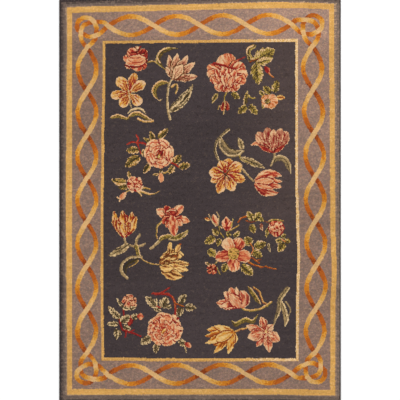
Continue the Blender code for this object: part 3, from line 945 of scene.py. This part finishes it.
stem([(-16.5, -146), (-14.5, -149.5), (-14, -152.5)], 1.6, DUSTY_GREEN, tone=0.6)
new_flower()
bloom((-70.5, -102), 7.4, RED, [(1.0, 5, 1.0), (0.62, 4, 0.9)], turn=0.3,
      tone=0.84, rim=1.0, depth=0.30, folds=0.9)
stems(PINK, [(1.1, 0.9, (-75.5, -99), (-71, -101.5), (-65.5, -104.5)),
             (1.1, 0.9, (-74.5, -104.5), (-71.5, -100.5), (-67.5, -98))])
leaves(DUSTY_GREEN, [(-71, -110, -78, -107.5, 4.8), (-71, -110, -64, -107, 5)], tone=0.7)
new_flower()
bloom((-36, -130.5), 17.4, PINK,
      [(1.0, 7, 0.92), (0.72, 5, 0.84), (0.46, 4, 0.70), (0.22, 2, 0.44)],
      turn=0.5, flat=0.94, tone=0.52, fade=0.66, rim=1.4, depth=0.24, folds=1.4)
for place in ((-46.5, -124), (-24.5, -122.5), (-19.5, -131.5), (-22, -119)):
    blot(place, 1.6, 1.1, RED, tone=0.2)
petal((-38.5, -134.5), (-34.5, -129), 2.8, AMBER, tone=0.7, rim=0.3)

# Eighth spray, bottom right: a pink tulip, a yellow tulip and a pink star lily, tall leaves.
stem([(42, -108.5), (46, -110.5), (52, -111), (60, -109.5), (66.5, -106), (71.5, -102.5)], 2.3,
     TAN, taper=0.0, tone=0.60)
stem([(48, -87), (52, -92.5), (56.5, -99.5), (61, -105)], 4.0, TAN, taper=0.1,
     swell=0.1, tone=0.50, pointed=True)
stem([(53.5, -88), (59, -92), (61, -97.5), (63, -102.5), (66, -104.5)], 2.2, GOLD,
     tone=0.42)
stem([(87, -89), (82, -95.5), (79.5, -101), (79, -108.5), (76.5, -117), (73, -126.5)], 4.8,
     GREY_GREEN, tone=0.58, taper=0.75, swell=0.3)
stem([(82, -102.5), (83.5, -108.5), (85.5, -115), (86, -121.5), (85, -127)], 5.0,
     GREY_GREEN, taper=0.0, tone=0.74, pointed=True)
stem([(86, -102.5), (90, -108.5), (90, -112), (88, -117.5)], 1.8, GREY_GREEN, tone=0.42)
stem([(31.5, -121.5), (35.5, -125), (41, -122.5), (46, -120.5), (52.5, -122), (58, -115.5)],
     4.4, YELLOW_GREEN, swell=0.2, tone=0.48, pointed=True)
stem([(33.5, -133), (39, -130.5), (46.5, -128.5)], 2.2, GOLD, tone=0.5)
new_flower()
blot((33, -101), 8.6, 8.6, CORAL, tone=0.25, turn=-0.8)
petals((40.5, -108.5), CORAL, [(16, -103, 10.5, 0.52), (23.5, -92, 9.5, 0.48)], depth=0.38,
       blunt=0.85)
petals((40.5, -109.5), CORAL, [(21, -107, 7, 0.42)], bend=-0.12, depth=0.40)
petals((41, -108.5), CORAL, [(29.5, -88, 10, 0.50), (36, -87.5, 4.4, 0.85)], belly=0.66)
petal((41.5, -108.5), (40, -91.5), 12.5, CORAL, belly=0.5, tone=0.42, bend=-0.20, depth=0.38)
petal((40.5, -108), (29.5, -94.5), 10, CORAL, belly=0.5, blunt=0.6, tone=0.62, fade=0.1,
      depth=0.26, rim=0.5, parting=1.5)
new_flower()
blot((22, -138), 11.5, 9.5, AMBER, tone=0.3, turn=0.3)
petals((34.5, -132.5), AMBER, [
    (7, -130, 9, 0.48), (4.5, -136.5, 7.5, 0.46), (5, -144, 7.5, 0.42),
    (13.5, -154, 7.5, 0.36), (34.5, -144.5, 7, 0.36), (28, -155, 7.5, 0.50)],
    belly=0.56, blunt=0.95, depth=0.52, fade=0.25, rim=0.5, parting=1.3)
petal((34.5, -132), (14, -126.5), 7, AMBER, belly=0.5, tone=0.52, depth=0.48, parting=1.2)
petal((33.5, -132.5), (15.5, -140.5), 9, AMBER, belly=0.52, blunt=0.65, tone=0.64, fade=0.15,
      depth=0.34, rim=0.5, parting=1.4)
new_flower()
blot((65, -133), 6, 6, CORAL, tone=0.3)
petals((66, -132.5), CORAL, [(61, -117, 9, 0.61), (73, -125, 8, 0.61),
                             (46, -126.5, 9, 0.63)],
       belly=0.56, blunt=0.95, depth=0.36, veins=1.0)
petals((66, -132.5), CORAL, [
    (56.5, -148, 7, 0.61), (69.5, -153, 9.5, 0.61), (80, -141.5, 11.5, 0.67),
    (47, -138.5, 12, 0.71)], belly=0.54, blunt=1.0, depth=0.34, veins=1.3)
blot((66, -132), 1.2, 1.4, GOLD, tone=0.85)

# The knotted pile itself: each knot a short clipped tuft, standing level with its neighbours
# and worn softly round at the rim. The cloth is kept as four lengthwise strips of one sheet.
STRIPS = 4
STRIP_COLUMNS = KNOT_COLUMNS // STRIPS
RIM_RADIUS = 0.0032
TUFT_UNEVEN = 0.00022
PILE_BELOW_TOP = 0.0004
FOUNDATION_HEIGHT = 0.0030
BACK_SHADE = 0.86


def srgb_to_linear(hex_colour):
    """The linear light of a colour such as "#d4a056"."""
    values = np.array([int(hex_colour[i:i + 2], 16) for i in (1, 3, 5)]) / 255.0
    return np.where(values <= 0.04045, values / 12.92, ((values + 0.055) / 1.055) ** 2.4)


# The wool's colour in every knot: its dye, the dye lots, a top border that is paler, painted light
# that lightens the upper taupe border on the right and darkens it on the left, and a field that
# is a little warmer to the right and dustier towards the middle of both ends.
WARMER_BY = np.array([0.44, 0.35, 0.22])
dye_light = np.array([srgb_to_linear(DYES[name]) for name in dye_names])
wool = dye_light[chart]
dye_lots = (0.90 + 0.08 * grain + 0.08 * mottle + 0.06 * flecks(square_x / 40.0, square_y / 2.3)
            + 0.05 * flecks(square_x / 26.0, square_y / 22.0))
# Towards the top the wool is made paler, most of all right of the middle.
paler_top = soft_step(square_y, 152.0, 168.0) * (
    0.14 + 0.13 * np.exp(-((square_x - 72.0) / 42.0) ** 2))
# Painted light from the right: the upper part of the taupe border is lighter on the right and darker on
# the left.
high_up = soft_step(square_y, -20.0, 80.0)
side_light = high_up * (0.15 * soft_step(square_x, 60.0, 125.0)
                        - 0.12 * soft_step(-square_x, 60.0, 125.0))
is_taupe = np.isin(chart, [dye_number[name] for name in (
    "taupe", "rose taupe", "ash taupe", "sand taupe")])
is_ground = np.isin(chart, [dye_number[name] for name in ("charcoal", "soot", "umber")])
is_ground &= np.abs(square_x) < 100.0
warmer = soft_step(square_x, 10.0, 100.0) * soft_step(square_y, -70.0, 0.0)
wool = wool * (dye_lots + np.where(is_taupe, 1.5 * paler_top + side_light, 0.45 * paler_top))[..., None]
wool = wool * (1.0 + (warmer * is_ground)[..., None] * WARMER_BY)
ends_dusty = np.exp(-(square_x / 50.0) ** 2) * soft_step(np.abs(square_y), 70.0, 130.0)
wool = wool * (1.0 + 0.15 * ends_dusty * is_ground)[..., None]
wool = np.clip(wool * (1.0 + 0.04 * hand.uniform(-1.0, 1.0, wool.shape)), 0.0, 1.0)

corner_across, corner_along = np.meshgrid(
    np.arange(KNOT_COLUMNS + 1) / KNOT_COLUMNS, np.arange(KNOT_ROWS + 1) / KNOT_ROWS)
corner_x, corner_y = on_cloth(corner_across, corner_along)
from_rim = np.minimum(cloth_half - np.abs(corner_x),
                      np.minimum(far_end(corner_x) - corner_y, corner_y - near_end(corner_x)))
sunk = np.clip(RIM_RADIUS - from_rim, 0.0, RIM_RADIUS)
corner_z = cloth_top - PILE_BELOW_TOP - RIM_RADIUS + np.sqrt(RIM_RADIUS ** 2 - sunk ** 2 + 1e-12)
corner_z += TUFT_UNEVEN * hand.uniform(-1.0, 1.0, corner_z.shape)


def node(tree, kind, settings=None, **links):
    """Adds a node with its settings.

    A link is a socket of another node or a plain value, given to the input of that name, or to
    the input of that number as i0, i1 and so on.
    """
    made = tree.nodes.new(kind)
    for name, value in (settings or {}).items():
        setattr(made, name, value)
    for name, value in links.items():
        key = int(name[1:]) if name[0] == "i" and name[1:].isdigit() else name.replace("_", " ")
        if isinstance(value, bpy.types.NodeSocket):
            tree.links.new(value, made.inputs[key])
        else:
            made.inputs[key].default_value = value
    return made


# Clipped wool pile: matt, with a soft bloom at grazing light and a grain of cut yarn ends.
# Knots are 3.4 mm apart. The noise swells over two yarn ends, and its detail gives single ones.
pile_wool = bpy.data.materials.new("clipped_wool_pile")
pile_wool.use_nodes = True
tree = pile_wool.node_tree
shader = tree.nodes["Principled BSDF"]
shader.inputs["Roughness"].default_value = 0.95
shader.inputs["Specular IOR Level"].default_value = 0.08
shader.inputs["Sheen Weight"].default_value = 0.08
shader.inputs["Sheen Roughness"].default_value = 0.55
YARN_END_MM = 1.2
TUFT_RELIEF = 0.0012
place = node(tree, "ShaderNodeTexCoord")
dye = node(tree, "ShaderNodeAttribute", {"attribute_name": "dyed_wool"})
cut_ends = node(tree, "ShaderNodeTexNoise", Vector=place.outputs["Object"],
                Scale=500.0 / YARN_END_MM, Detail=3.0, Roughness=0.6)
shade = node(tree, "ShaderNodeMapRange", Value=cut_ends.outputs["Fac"], From_Min=0.25,
             From_Max=0.75, To_Min=0.86, To_Max=1.14)
tinted = node(tree, "ShaderNodeVectorMath", {"operation": "SCALE"},
              i0=dye.outputs["Color"], Scale=shade.outputs["Result"])
knots = node(tree, "ShaderNodeUVMap", {"uv_map": "knots"})
in_knot = node(tree, "ShaderNodeVectorMath", {"operation": "FRACTION"}, i0=knots.outputs["UV"])
off_centre = node(tree, "ShaderNodeVectorMath", {"operation": "SUBTRACT"},
                  i0=in_knot.outputs["Vector"], i1=(0.5, 0.5, 0.0))
away = node(tree, "ShaderNodeVectorMath", {"operation": "LENGTH"}, i0=off_centre.outputs["Vector"])
dome = node(tree, "ShaderNodeMath", {"operation": "MULTIPLY_ADD"},
            i0=away.outputs["Value"], i1=-1.4, i2=1.0)
# Painted shade and highlight: each knot's colour is darkened towards its edges, where the tufts part, and
# lightened at its crown.
tuft_shading = node(tree, "ShaderNodeMapRange", Value=dome.outputs["Value"], To_Min=0.80, To_Max=1.23)
tuft_shaded = node(tree, "ShaderNodeVectorMath", {"operation": "SCALE"},
              i0=tinted.outputs["Vector"], Scale=tuft_shading.outputs["Result"])
tree.links.new(tuft_shaded.outputs["Vector"], shader.inputs["Base Color"])
heights = node(tree, "ShaderNodeMath", {"operation": "MULTIPLY_ADD"},
               i0=cut_ends.outputs["Fac"], i1=0.8, i2=dome.outputs["Value"])
relief = node(tree, "ShaderNodeBump", Strength=0.8, Distance=TUFT_RELIEF,
              Height=heights.outputs["Value"])
tree.links.new(relief.outputs["Normal"], shader.inputs["Normal"])


def strip_shape(first):
    """The points and faces of one strip, closed all round: pile above, wall, and back below.

    It returns with them the row and column of the knot that each face belongs to, and how many
    steps the rim has. The back has one face for four knots, with the rim's points in it.
    """
    wide = STRIP_COLUMNS + 1
    tall = KNOT_ROWS + 1
    cut = slice(first, first + wide)
    pile = np.stack([corner_x[:, cut], corner_y[:, cut], corner_z[:, cut]], -1).reshape(-1, 3)
    ids = np.arange(wide * tall).reshape(tall, wide)
    pile_faces = np.stack([ids[:-1, :-1], ids[:-1, 1:], ids[1:, 1:], ids[1:, :-1]], -1)
    pile_faces = pile_faces.reshape(-1, 4)
    pile_rows, pile_columns = np.divmod(np.arange(len(pile_faces)), STRIP_COLUMNS)

    rim = np.concatenate([ids[0, :-1], ids[:-1, -1], ids[-1, :0:-1], ids[:0:-1, 0]])
    middle = len(pile) + np.arange(len(rim))
    lower = middle + len(rim)
    onward = np.roll(np.arange(len(rim)), -1)
    wall_faces = np.concatenate([
        np.stack([upper, under, under[onward], upper[onward]], -1)
        for upper, under in ((rim, middle), (middle, lower))])
    rim_rows, rim_columns = np.divmod(rim, wide)
    wall_rows = np.tile(np.minimum(rim_rows, KNOT_ROWS - 1), 2)
    wall_columns = np.tile(np.minimum(rim_columns + first, KNOT_COLUMNS - 1), 2)

    inner = ids[2:-1:2, 2:-1:2]
    back_ids = np.full(ids.shape, -1)
    back_ids.flat[rim] = lower
    back_ids[2:-1:2, 2:-1:2] = lower[-1] + 1 + np.arange(inner.size).reshape(inner.shape)
    round_four_knots = [0, 3, 6, 7, 8, 5, 2, 1]
    back_faces = []
    for row in range(0, KNOT_ROWS, 2):
        for column in range(0, STRIP_COLUMNS, 2):
            walk = back_ids[row:row + 3, column:column + 3].flatten()[round_four_knots]
            back_faces.append(walk[walk >= 0].tolist())
    back_rows, back_columns = np.divmod(np.arange(len(back_faces)), STRIP_COLUMNS // 2)

    def lowered(spots, height):
        return np.column_stack([pile[spots, :2], np.full(len(spots), height)])

    points = np.concatenate([pile, lowered(rim, FOUNDATION_HEIGHT), lowered(rim, 0.0),
                             lowered(inner.ravel(), 0.0)])
    faces = pile_faces.tolist() + wall_faces.tolist() + back_faces
    rows = np.concatenate([pile_rows, wall_rows, 2 * back_rows])
    columns = np.concatenate([pile_columns + first, wall_columns, 2 * back_columns + first])
    return points, faces, rows, columns, len(rim)


# The flat map of a strip, for its baked picture: the near and the far half of the pile in two
# wide lanes, those of the back in two narrow ones, and the wall in two slivers.
PILE_LANE = 0.375
PILE_GAP = 0.004
BACK_START = 0.75
BACK_LANE = 0.11
BACK_GAP = 0.02
WALL_STARTS = (0.972, 0.985)
WALL_LANE = 0.010


def flat_map(across, along, far_half, is_pile, wall, rim_steps):
    """The flat map's u and v for every corner of every face of a strip.

    across and along are shares of the strip's width and length, far_half is 1 for the far half
    and 0 for the near one, and wall is the slice of the wall's corners.
    """
    in_half = np.clip(along * 2.0 - far_half, 0.0, 1.0)
    u = np.where(is_pile, (far_half + PILE_GAP + (1.0 - 2.0 * PILE_GAP) * across) * PILE_LANE,
                 BACK_START + (far_half + BACK_GAP + (1.0 - 2.0 * BACK_GAP) * across) * BACK_LANE)
    steps = np.arange(rim_steps)
    round_rim = np.array([steps, steps, steps + 1, steps + 1]).T.ravel() / rim_steps
    up_wall = np.tile([1.0, 0.0, 0.0, 1.0], rim_steps)
    u[wall] = np.concatenate([first_u + WALL_LANE * up_wall for first_u in WALL_STARTS])
    in_half[wall] = np.tile(round_rim, 2)
    return u, PILE_GAP + (1.0 - 2.0 * PILE_GAP) * in_half


def cloth_strip(number):
    """One lengthwise strip of the cloth, with a dye for each knot."""
    first = number * STRIP_COLUMNS
    points, faces, rows, columns, rim_steps = strip_shape(first)
    name = "knotted_pile_%d" % (number + 1)
    mesh = bpy.data.meshes.new(name)
    mesh.from_pydata(points.tolist(), [], faces)
    pile_count = KNOT_ROWS * STRIP_COLUMNS
    wall_count = 2 * rim_steps

    corners = np.array([len(face) for face in faces])
    face_colour = wool[rows, columns]
    face_colour[pile_count + wall_count:] *= BACK_SHADE
    colour = np.ones((corners.sum(), 4))
    colour[:, :3] = np.repeat(face_colour, corners, axis=0)
    dyed = mesh.color_attributes.new("dyed_wool", "FLOAT_COLOR", "CORNER")
    dyed.data.foreach_set("color", colour.ravel())

    # The knot map counts knots, so that the bump gives each of them its own tuft.
    vertex = np.empty(corners.sum(), int)
    mesh.loops.foreach_get("vertex_index", vertex)
    across = points[:, 0] / (2.0 * cloth_half) + 0.5
    near_y = near_end(points[:, 0])
    along = (points[:, 1] - near_y) / (far_end(points[:, 0]) - near_y)
    knot_uv = np.stack([across * KNOT_COLUMNS, along * KNOT_ROWS], -1)[vertex]
    mesh.uv_layers.new(name="knots").data.foreach_set("uv", knot_uv.ravel())

    share_across = np.clip((across - first / KNOT_COLUMNS) * STRIPS, 0.0, 1.0)[vertex]
    far_half = np.repeat((rows >= KNOT_ROWS // 2).astype(float), corners)
    is_pile = np.repeat(np.arange(len(faces)) < pile_count, corners)
    wall = slice(4 * pile_count, 4 * (pile_count + wall_count))
    flat_uv = flat_map(share_across, along[vertex], far_half, is_pile, wall, rim_steps)
    mesh.uv_layers.new(name="OFBake").data.foreach_set("uv", np.stack(flat_uv, -1).ravel())
    mesh.uv_layers["knots"].active_render = True

    mesh.materials.append(pile_wool)
    mesh.update()
    strip = bpy.data.objects.new(name, mesh)
    bpy.context.scene.collection.objects.link(strip)
    return strip


for number in range(STRIPS):
    strip = cloth_strip(number)
    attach(strip, "root")
    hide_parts("knotted_rug")

# The overcast edges: down each side a bundle of warps is wrapped with dark wool yarn, turn
# beside turn. The cord lies on the floor beside the pile, and its turns slant a little.
WRAP_PITCH = 0.0026
WRAP_HEIGHT = 0.0005
WRAP_SLANT = 0.35
CORD_FACETS = 12
RINGS_PER_WRAP = 3

# Plied wool wound tight: matt and almost black, with a brown cast. Each turn has taken the dye
# a little differently, and a grain of fibres about a millimetre across breaks up its light.
FIBRE_SCALE = 900.0
FIBRE_RELIEF = 0.0004
overcast_wool = bpy.data.materials.new("overcast_wool_yarn")
overcast_wool.use_nodes = True
tree = overcast_wool.node_tree
shader = tree.nodes["Principled BSDF"]
shader.inputs["Roughness"].default_value = 0.92
shader.inputs["Specular IOR Level"].default_value = 0.15
shader.inputs["Sheen Weight"].default_value = 0.15
place = node(tree, "ShaderNodeTexCoord")
turns = node(tree, "ShaderNodeAttribute", {"attribute_name": "wrap_tone"})
fibres = node(tree, "ShaderNodeTexNoise", Vector=place.outputs["Object"], Scale=FIBRE_SCALE,
              Detail=2.0)
mixed = node(tree, "ShaderNodeMath", {"operation": "MULTIPLY_ADD"},
             i0=fibres.outputs["Fac"], i1=0.5, i2=turns.outputs["Fac"])
ramp = node(tree, "ShaderNodeValToRGB", i0=mixed.outputs["Value"])
for stop, position, colour in zip(ramp.color_ramp.elements, (0.2, 1.0), ("#2b2524", "#4c4039")):
    stop.position = position
    stop.color = (*srgb_to_linear(colour), 1.0)
tree.links.new(ramp.outputs["Color"], shader.inputs["Base Color"])
relief = node(tree, "ShaderNodeBump", Strength=0.4, Distance=FIBRE_RELIEF,
              Height=fibres.outputs["Fac"])
tree.links.new(relief.outputs["Normal"], shader.inputs["Normal"])


def wrapping_tree():
    """Geometry nodes: a cord along Y whose surface rises and falls with the slanting turns."""
    group = bpy.data.node_groups.new("overcast_wrapping", "GeometryNodeTree")
    face = group.interface
    face.new_socket("Geometry", in_out="OUTPUT", socket_type="NodeSocketGeometry")
    for name, kind in (("Start", "NodeSocketVector"), ("End", "NodeSocketVector"),
                       ("Radius", "NodeSocketFloat"), ("Rings", "NodeSocketInt"),
                       ("Pitch", "NodeSocketFloat"), ("Wrap Height", "NodeSocketFloat"),
                       ("Slant", "NodeSocketFloat"), ("Wool", "NodeSocketMaterial")):
        face.new_socket(name, in_out="INPUT", socket_type=kind)
    given = node(group, "NodeGroupInput").outputs
    path = node(group, "GeometryNodeCurvePrimitiveLine", Start=given["Start"], End=given["End"])
    path = node(group, "GeometryNodeResampleCurve", Curve=path.outputs["Curve"],
                Count=given["Rings"])
    outline = node(group, "GeometryNodeCurvePrimitiveCircle", Resolution=CORD_FACETS,
                   Radius=given["Radius"])
    cord = node(group, "GeometryNodeCurveToMesh", Curve=path.outputs["Curve"],
                Profile_Curve=outline.outputs["Curve"], Fill_Caps=True)
    position = node(group, "GeometryNodeInputPosition")
    split = node(group, "ShaderNodeSeparateXYZ", Vector=position.outputs["Position"])
    middle = node(group, "ShaderNodeSeparateXYZ", Vector=given["Start"])
    off_x = node(group, "ShaderNodeMath", {"operation": "SUBTRACT"},
                 i0=split.outputs["X"], i1=middle.outputs["X"])
    off_z = node(group, "ShaderNodeMath", {"operation": "SUBTRACT"},
                 i0=split.outputs["Z"], i1=middle.outputs["Z"])
    lean = node(group, "ShaderNodeMath", {"operation": "MULTIPLY"},
                i0=off_x.outputs["Value"], i1=given["Slant"])
    reach = node(group, "ShaderNodeMath", {"operation": "ADD"},
                 i0=split.outputs["Y"], i1=lean.outputs["Value"])
    count = node(group, "ShaderNodeMath", {"operation": "DIVIDE"},
                 i0=reach.outputs["Value"], i1=given["Pitch"])
    phase = node(group, "ShaderNodeMath", {"operation": "MULTIPLY"},
                 i0=count.outputs["Value"], i1=math.pi)
    wave = node(group, "ShaderNodeMath", {"operation": "SINE"}, i0=phase.outputs["Value"])
    ridge = node(group, "ShaderNodeMath", {"operation": "ABSOLUTE"}, i0=wave.outputs["Value"])
    lift = node(group, "ShaderNodeMath", {"operation": "SUBTRACT"},
                i0=ridge.outputs["Value"], i1=1.0)
    depth = node(group, "ShaderNodeMath", {"operation": "MULTIPLY"},
                 i0=lift.outputs["Value"], i1=given["Wrap Height"])
    out = node(group, "ShaderNodeCombineXYZ", X=off_x.outputs["Value"], Z=off_z.outputs["Value"])
    outward = node(group, "ShaderNodeVectorMath", {"operation": "NORMALIZE"},
                   i0=out.outputs["Vector"])
    push = node(group, "ShaderNodeVectorMath", {"operation": "SCALE"},
                i0=outward.outputs["Vector"], Scale=depth.outputs["Value"])
    ridged = node(group, "GeometryNodeSetPosition", Geometry=cord.outputs["Mesh"],
                  Offset=push.outputs["Vector"])
    turn = node(group, "ShaderNodeMath", {"operation": "FLOOR"}, i0=count.outputs["Value"])
    tone = node(group, "FunctionNodeRandomValue", ID=turn.outputs["Value"], Seed=7)
    toned = node(group, "GeometryNodeStoreNamedAttribute", {"data_type": "FLOAT"},
                 Geometry=ridged.outputs["Geometry"], Name="wrap_tone",
                 Value=tone.outputs[1])
    whole = node(group, "GeometryNodeRealizeInstances", Geometry=toned.outputs["Geometry"])
    dressed = node(group, "GeometryNodeSetMaterial", Geometry=whole.outputs["Geometry"],
                   Material=given["Wool"])
    node(group, "NodeGroupOutput", Geometry=dressed.outputs["Geometry"])
    return group


wrapping = wrapping_tree()
socket_of = {item.name: item.identifier for item in wrapping.interface.items_tree
             if item.in_out == "INPUT"}


def overcast_edge(cad_node):
    """The wrapped cord that stands for one plain cord of the frame."""
    low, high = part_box(cad_node)
    radius = 0.5 * (high[0] - low[0])
    centre_x = 0.5 * (low[0] + high[0])
    carrier = bpy.data.objects.new("wrapping", bpy.data.meshes.new("wrapping"))
    bpy.context.scene.collection.objects.link(carrier)
    modifier = carrier.modifiers.new("wrapping", "NODES")
    modifier.node_group = wrapping
    rings = int(RINGS_PER_WRAP * (high[1] - low[1]) / WRAP_PITCH)
    for name, value in (("Start", (centre_x, low[1], radius)), ("End", (centre_x, high[1], radius)),
                        ("Radius", radius), ("Rings", rings), ("Pitch", WRAP_PITCH),
                        ("Wrap Height", WRAP_HEIGHT), ("Slant", WRAP_SLANT),
                        ("Wool", overcast_wool)):
        modifier[socket_of[name]] = value
    seen = carrier.evaluated_get(bpy.context.evaluated_depsgraph_get())
    mesh = bpy.data.meshes.new_from_object(seen)
    bpy.data.objects.remove(carrier)
    mesh.name = "overcast_" + cad_node
    edge = bpy.data.objects.new("overcast_" + cad_node, mesh)
    bpy.context.scene.collection.objects.link(edge)
    return edge


for cad_node in ("selvedge_left", "selvedge_right"):
    edge = overcast_edge(cad_node)
    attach(edge, "root")
    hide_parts(cad_node)

# The studio: a pale floor, soft even light a little stronger from the far right, and the
# camera straight above, as far off as a long lens needs.
FLOOR_SIZE = 14.0
FLOOR_HEIGHT = -0.0005
bpy.ops.mesh.primitive_plane_add(size=FLOOR_SIZE, location=(0.0, 0.0, FLOOR_HEIGHT))
floor = bpy.context.active_object
floor.name = "studio_floor"

# Matt emulsion paint on a smooth floor: near white, with no reflection of the rug.
floor_paint = bpy.data.materials.new("pale_floor_paint")
floor_paint.use_nodes = True
floor_shader = floor_paint.node_tree.nodes["Principled BSDF"]
floor_shader.inputs["Base Color"].default_value = (0.97, 0.97, 0.97, 1.0)
floor_shader.inputs["Roughness"].default_value = 0.9
floor_shader.inputs["Specular IOR Level"].default_value = 0.1
floor.data.materials.append(floor_paint)

SKY_STRENGTH = 0.62
world = bpy.data.worlds.new("soft_studio")
world.use_nodes = True
sky = world.node_tree.nodes["Background"]
sky.inputs["Color"].default_value = (1.0, 1.0, 1.0, 1.0)
sky.inputs["Strength"].default_value = SKY_STRENGTH
bpy.context.scene.world = world

SOFTBOX_POWER = 95.0
SOFTBOX_WIDTH = 2.4
for place, power in (((2.3, 1.2, 4.0), 0.93), ((-2.6, -0.6, 4.0), 0.70)):
    light = bpy.data.lights.new("softbox", "AREA")
    light.shape = "DISK"
    light.size = SOFTBOX_WIDTH
    light.energy = SOFTBOX_POWER * power
    lamp = bpy.data.objects.new("softbox", light)
    lamp.location = place
    aim = -np.array(place)
    lamp.rotation_euler = (math.atan2(math.hypot(aim[0], aim[1]), -aim[2]), 0.0,
                           math.atan2(-aim[0], aim[1]))
    bpy.context.scene.collection.objects.link(lamp)

IMAGE_SIDE = 400
PHOTO_CENTRE_SHIFT = -0.5 * SQUARE
LENS_MM = 85.0
SENSOR_MM = 36.0
view_width = IMAGE_SIDE * SQUARE
camera_data = bpy.data.cameras.new("camera")
camera_data.lens = LENS_MM
camera_data.sensor_width = SENSOR_MM
camera = bpy.data.objects.new("camera", camera_data)
camera.location = (0.0, PHOTO_CENTRE_SHIFT, cloth_top + view_width * LENS_MM / SENSOR_MM)
bpy.context.scene.collection.objects.link(camera)
bpy.context.scene.camera = camera
bpy.context.scene.view_settings.view_transform = "Standard"
